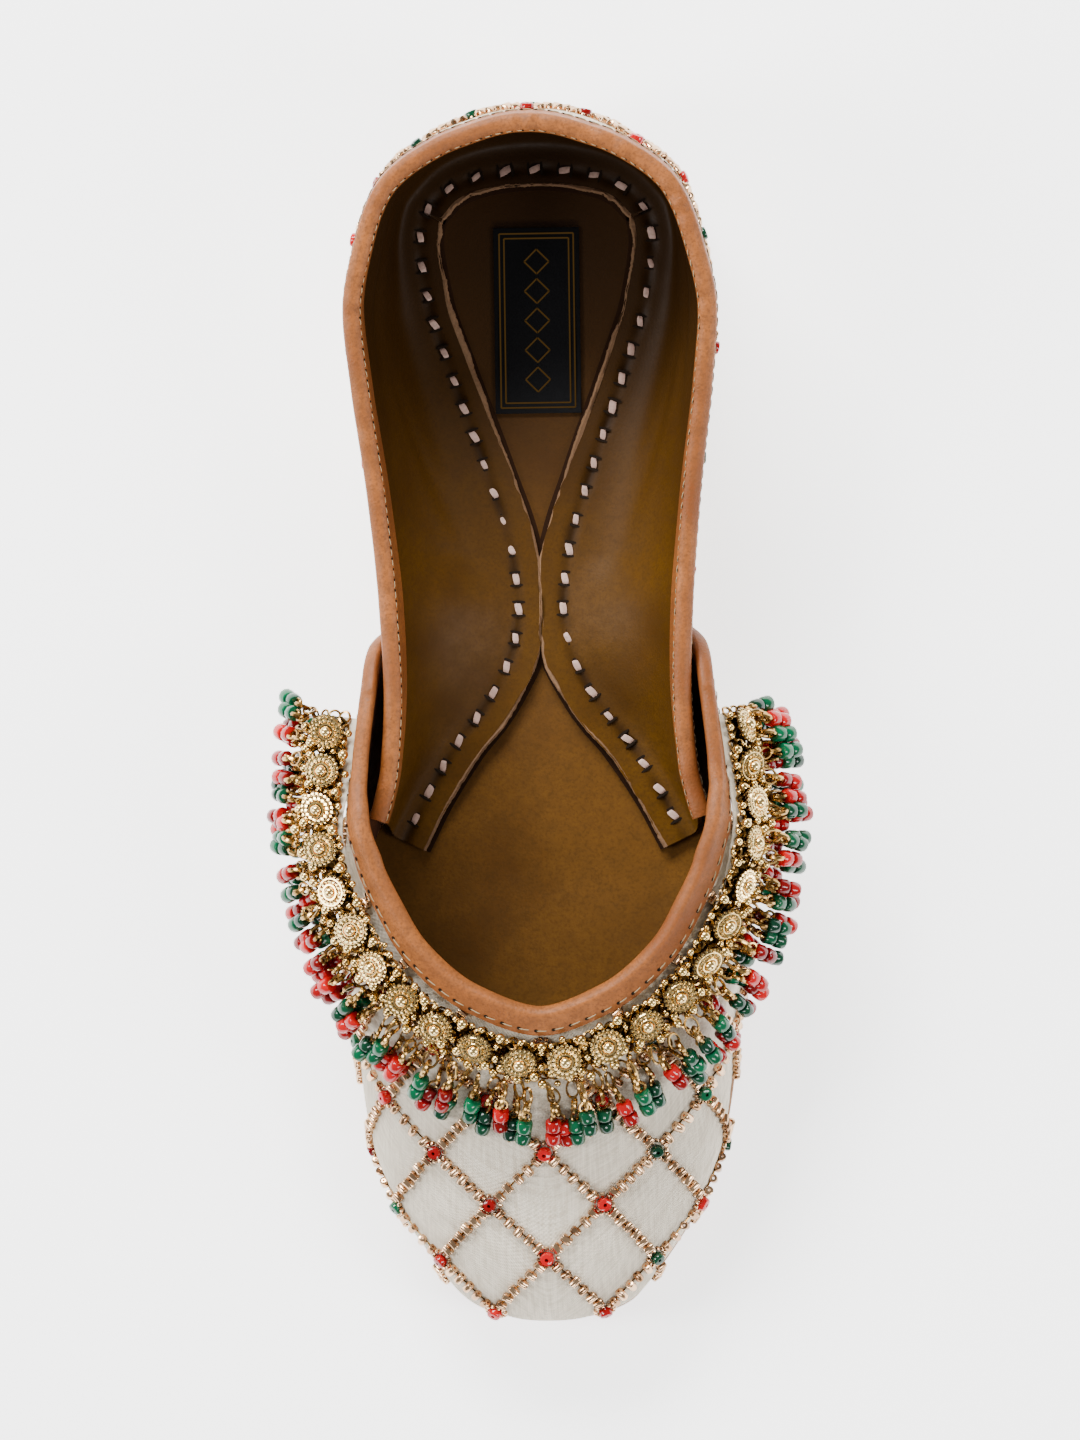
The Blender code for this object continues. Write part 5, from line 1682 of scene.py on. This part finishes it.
# %% Rows of balls: place between rosettes, place across the chain, lift off it, size
BALL_ROWS = (
    (0.50, 0.0004, 0.0022, 1.00), (0.50, 0.0024, 0.0014, 0.62), (0.00, -0.0003, 0.0016, 0.72),
    (0.28, 0.0004, 0.0012, 0.60), (0.72, 0.0004, 0.0012, 0.60), (0.34, 0.0070, 0.0020, 0.95),
    (0.66, 0.0070, 0.0018, 0.92), (0.50, 0.0050, 0.0012, 0.74), (0.00, 0.0088, 0.0014, 0.95),
    (0.50, 0.0090, 0.0012, 0.95), (0.22, 0.0094, 0.0008, 0.62), (0.78, 0.0094, 0.0008, 0.62),
)
BALL_RADIUS, BALL_STRAYS = 0.00118, 0.00028
ball_master = master("ball_master", ball_shape(BALL_RADIUS, 2))
balls = []
for n, (offset, across_chain, lift, size) in enumerate(BALL_ROWS):
    shares = (np.arange(ROSETTES) + 0.5 + offset) / ROSETTES
    shares = shares[shares < 1.0]
    strays = chance.normal(0, BALL_STRAYS, (len(shares), 3))
    points = chain_place(shares, CHAIN_OFF + across_chain, lift) + strays
    balls.append(stand(f"chain_balls_{n + 1}", points, *chain_ways(shares), ball_master, gold, size=size,
                       uneven=0.12, seed=n))
print("rows of balls:", len(balls))

# %% [markdown]
# ## Wires, rings, painted shadow and tape
# Waved wires and rows of small rings hold the lace together under its balls, and a thin dark scalloped sheet
# under them paints the shadow in the gaps. The lace is sewn on a cloth tape, which shows at the two sides
# beside the binding, where the wall drops away under it. Each is a path or a strip at its own reach across
# the chain.

# %% Wires and rings
LACE_STEPS = 500
lace_shares = np.linspace(0.004, 0.996, LACE_STEPS)
lace_up = chain_ways(lace_shares)[0]
lace_paths = []
for across_chain, lift in ((0.0012, 0.0009), (0.0044, 0.0007), (0.0074, 0.0009)):
    weave_in = CHAIN_OFF + across_chain + 0.0007 * np.sin(lace_shares * 400)
    lace_paths.append(chain_place(lace_shares, weave_in, lift))
lace = tubes("chain_lace_wires", lace_paths, [lace_up] * len(lace_paths), 0.00035, gold_wire)
link_master = master("link_master", ring_shape(0.00125, 0.00030, 12, 5))
link_paths = [chain_place(lace_shares, CHAIN_OFF + across_chain, 0.0002)
              for across_chain in (0.0014, 0.0036, 0.0058, 0.0080)]
links = walk("chain_link_rings", link_paths, [lace_up] * len(link_paths), link_master, 0.0023, gold_wire,
             uneven=0.25, tilt=0.5, seed=3)
print("wires:", len(lace_paths), "rows of rings:", len(link_paths))

# %% Painted shadow backing and tape
SHADOW_BACKING_MIDDLE, SHADOW_BACKING_HALF, SCALLOP = 0.0042, 0.0026, 0.0006
TAPE_STEPS, TAPE_REACH = 120, 0.0056
shadow_backing_reach = CHAIN_OFF + SHADOW_BACKING_MIDDLE + SHADOW_BACKING_HALF * np.array((-1, -1, 1, 1))
scallop = SCALLOP * np.cos(2 * math.pi * ROSETTES * lace_shares)
shadow_backing_rows = []
for reach_now, lift_now in zip(shadow_backing_reach, (-0.0002, 0.0001, 0.0001, -0.0002)):
    edge_side = np.sign(reach_now - CHAIN_OFF - SHADOW_BACKING_MIDDLE)
    shadow_backing_rows.append(chain_place(lace_shares, reach_now + edge_side * -scallop, lift_now))
# A dark sheet under the lace, in the darkest rosette gold: painted shadow in the gaps between the rosettes
painted_shadow_backing = strip("chain_backing", np.array(shadow_backing_rows).transpose(1, 0, 2), rosette_gold)
tapes = []
for side, (first, last) in (("left", (0.004, 0.24)), ("right", (0.996, 0.76))):
    tape_shares = np.linspace(first, last, TAPE_STEPS)
    tucked = np.linspace(-0.0014, 0.0020, TAPE_STEPS)
    tape_rows = [chain_place(tape_shares, tape_reach, tape_lift) for tape_reach, tape_lift in (
        (tucked, -0.0005), (tucked, -0.0002), (TAPE_REACH, -0.0003), (TAPE_REACH, -0.0006))]
    tapes.append(strip(f"chain_tape_{side}", np.array(tape_rows).transpose(1, 0, 2), ecru_tape))
chain_pieces = [rosettes, *balls, lace, links, painted_shadow_backing, *tapes]
print("chain faces:", sum(len(piece.data.polygons) for piece in chain_pieces))

# %% [markdown]
# ## The bead fringe
# From the chain's lower edge hang wire rings, each with an eye loop and a pin through two glass beads, red
# and green by turns. They crowd each other, so each dangle gets its own small lean, from a fixed seed.

# %% Where each dangle hangs, and how it leans
DANGLE_PLACES, PLACE_STRAYS = 132, 0.10
FRONT, FRONT_SPREAD, UNDER_LAYER_FROM = 0.5, 0.22, 0.17
LOWER_LIFT, UPPER_LIFT, UNDER_DROP = 0.0005, 0.0024, 0.0036
LOWER_SPARE, UNDER_SHORT, FRONT_SPARE = 0.0021, 0.0020, 0.0016
RINGS_END = 0.003
places = (np.arange(DANGLE_PLACES) + 0.5 + chance.normal(0, PLACE_STRAYS, DANGLE_PLACES)) / DANGLE_PLACES
layer = np.arange(DANGLE_PLACES) % 3
kept = (layer < 2) | (np.abs(places - FRONT) > UNDER_LAYER_FROM)
dangle_shares, layer = places[kept], layer[kept]
dangles = len(layer)
lower_layer = layer == 0
under_layer = layer == 2
lean = chance.normal(0, 0.11, dangles)
dip = chance.normal(0, 0.07, dangles)
lift = np.where(lower_layer, LOWER_LIFT, UPPER_LIFT) - UNDER_DROP * under_layer
lift = lift + chance.normal(0, 0.0003, dangles)
in_front = np.exp(-(((dangle_shares - FRONT) / FRONT_SPREAD) ** 2))
spare = np.where(lower_layer, LOWER_SPARE, 0.0) - UNDER_SHORT * under_layer
spare = spare + chance.uniform(-0.0006, 0.0008, dangles) + FRONT_SPARE * in_front
start = fringe_place(dangle_shares, -0.0004 + 0.0030 * in_front, lift)
outwards = trim_frame(dangle_shares)[1]
slopes = fringe_slope(dangle_shares) + dip
hang = hanging(outwards, slopes, "along")
off = hanging(outwards, slopes, "off")
side = np.cross(off, hang)
hang = unit(hang + side * lean[:, None])
side = unit(np.cross(off, hang))


def down_dangle(reach):
    """Points this far down each dangle; below its rings, each has its own spare length."""
    return start + hang * (reach + spare * (reach > RINGS_END))[:, None]


print("dangles:", dangles)

# %% Rings, eyes, pins and glass
GLASS_RADIUS, GLASS_HALF, GLASS_APART = 0.00178, 0.00140, 0.0001
PIN_HALF, PIN_RADIUS, PIN_AXIS = 0.0032, 0.0002, 0.00001
RING_DOWN, LINK_DOWN, EYE_DOWN, PIN_DOWN, GLASS_DOWN = 0.0016, 0.0036, 0.0044, 0.0081, 0.0067
ODD_ONES = 0.15
jump_master = master("jump_master", ring_shape(0.0023, 0.00040, 20, 6, squeeze=0.66))
eye_master = master("eye_master", ring_shape(0.00120, 0.00034, 14, 6))
glass_profile = seed_bead(GLASS_RADIUS, GLASS_HALF, 0.00045)
glass_master = master("glass_master", turned_shape(glass_profile, 12, "X"))
pin_profile = ((PIN_AXIS, -PIN_HALF), (PIN_RADIUS, -PIN_HALF), (PIN_RADIUS, PIN_HALF), (PIN_AXIS, PIN_HALF))
pin_shape = [(turned_shape(pin_profile, 6, "X"), (0, 0, 0)), (ball_shape(0.00042, 1), (0.0033, 0, 0))]
pin_master = master("pin_master", pile(pin_shape))
spin = chance.uniform(0, math.pi, dangles)
ring_up = unit(off * np.cos(spin)[:, None] + side * np.sin(spin)[:, None])
cross_up = unit(off * np.cos(spin + 1.3)[:, None] + side * np.sin(spin + 1.3)[:, None])
link_points = start + hang * (LINK_DOWN + spare * 0.55)[:, None]
fringe_pieces = [
    stand("fringe_rings", down_dangle(RING_DOWN), ring_up, hang, jump_master, gold_wire, uneven=0.22,
          tilt=0.18),
    stand("fringe_links", link_points, side, hang, eye_master, gold_wire, size=1.45, uneven=0.12, tilt=0.3),
    stand("fringe_eyes", down_dangle(EYE_DOWN), cross_up, hang, eye_master, gold_wire, uneven=0.1, tilt=0.2),
    stand("fringe_pins", down_dangle(PIN_DOWN), off, hang, pin_master, gold_wire),
]
is_green = (np.arange(dangles) // 2 % 2 == 0) ^ (chance.uniform(size=dangles) < ODD_ONES)
for colour, finish, chosen in (("red", red_glass, ~is_green), ("green", green_glass, is_green)):
    upper_beads = down_dangle(GLASS_DOWN)[chosen]
    lower_beads = down_dangle(GLASS_DOWN + 2 * GLASS_HALF + GLASS_APART)[chosen]
    points = np.concatenate([upper_beads, lower_beads])
    ups = np.concatenate([off[chosen]] * 2)
    ways = np.concatenate([hang[chosen]] * 2)
    fringe_pieces.append(stand(f"fringe_{colour}_glass", points, ups, ways, glass_master, finish, uneven=0.10,
                               tilt=0.14, seed=17))
print("fringe faces:", sum(len(piece.data.polygons) for piece in fringe_pieces))

# %% Masters have served
for piece in [o for o in bpy.data.objects if o.name.endswith("_master")]:
    bpy.data.objects.remove(piece)

# %% [markdown]
# ## Riding the frame
# Every piece moves with the shoe's one body. A piece that takes the place of an imported solid hides it.

# %% Which piece stands for which solid
standing_for = {
    "heel_lift": ("heel_piece", "red_leather"), "red_outsole": ("outsole", "red_leather"),
    "rand": ("midsole", "natural_leather"), "footbed": ("insole", "brown_leather"),
    "label_patch": ("heel_label", "black_leather"), "quarter_cloth": ("quarter", "ecru_fabric"),
    "vamp_cloth": ("vamp", "ecru_fabric"), "collar_strip": ("collar_binding", "tan_leather"),
    "throat_strip": ("vamp_binding", "tan_leather"), "chain_rosettes": ("rosette_chain", "gold_metal"),
    "fringe_red_glass": ("bead_fringe", "glass_beads"), "fringe_green_glass": ("bead_fringe", "glass_beads"),
}
dressed = [o for o in bpy.context.scene.objects if o.type == "MESH" and "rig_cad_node" not in o]
for piece in dressed:
    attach(piece, "root")
    if piece.name in standing_for:
        node, slot = standing_for[piece.name]
        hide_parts(node)
triangles = {o.name: sum(len(p.vertices) - 2 for p in o.data.polygons) for o in dressed}
print("pieces:", len(dressed), "triangles:", sum(triangles.values()))
print("most triangles:", max(triangles.items(), key=lambda pair: pair[1]))

# %% [markdown]
# ## Floor, light and camera
# The shoe stands on a pale floor under soft light from large panels, and is seen from almost straight
# above, from a little to its right. A long lens keeps its outline true.

# %% Floor
floor_finish = Finish("pale_floor", (0.97, 0.97, 0.97), 0.9, Specular_IOR_Level=0.1,
                      Emission_Color=(1.0, 1.0, 1.0, 1.0), Emission_Strength=2.0)
floor_finish.bump(floor_finish.noise(300, 2), 0.0001, 0.05)
FLOOR_HALF, FLOOR_UNDER = 3, -0.0006
floor_corners = [(x, y, FLOOR_UNDER) for x, y in rectangle(FLOOR_HALF, FLOOR_HALF)[:4]]
floor = add_mesh("floor", floor_corners, [(0, 1, 2, 3)], floor_finish.material)

# %% Lights
world = bpy.data.worlds.new("studio")
world.use_nodes = True
world.node_tree.nodes["Background"].inputs["Color"].default_value = (1.0, 1.0, 1.0, 1.0)
world.node_tree.nodes["Background"].inputs["Strength"].default_value = 0.32
bpy.context.scene.world = world
SHOE_MIDDLE = Vector((0.0, 0.0, 0.025))


def panel(name, place, size, power):
    """A soft box that faces the shoe."""
    data = bpy.data.lights.new(name, "AREA")
    data.shape = "RECTANGLE"
    data.size, data.size_y = size
    data.energy = power
    lamp = bpy.data.objects.new(name, data)
    lamp.location = place
    lamp.rotation_euler = (SHOE_MIDDLE - Vector(place)).to_track_quat("-Z", "Y").to_euler()
    bpy.context.scene.collection.objects.link(lamp)


panel("heel_panel", (-0.35, 1.10, 0.85), (0.9, 0.40), 46.0)
panel("left_panel", (-1.10, -0.05, 0.85), (0.35, 0.8), 20.0)
panel("right_panel", (1.05, -0.30, 0.80), (0.30, 0.8), 14.0)
panel("toe_panel", (0.10, -1.25, 0.80), (0.7, 0.25), 9.0)

# %% Camera
VIEW_OFFSET = Vector((0.064, 0.015, 1.58))
ROLL = math.radians(0.8)
FRAME_HEIGHT = 0.300
SENSOR = 36.0
camera_data = bpy.data.cameras.new("view")
camera_data.sensor_width = SENSOR
camera_data.lens = SENSOR * VIEW_OFFSET.length / FRAME_HEIGHT
camera = bpy.data.objects.new("view", camera_data)
look = -VIEW_OFFSET.normalized()
right = Vector((math.cos(ROLL), -math.sin(ROLL), 0.0))
right = (right - look * right.dot(look)).normalized()
up = right.cross(look)
aimed = Matrix((right, up, -look)).transposed().to_4x4()
camera.matrix_world = Matrix.Translation(SHOE_MIDDLE + VIEW_OFFSET) @ aimed
bpy.context.scene.collection.objects.link(camera)
bpy.context.scene.camera = camera
print("lens, mm:", round(camera_data.lens, 1))
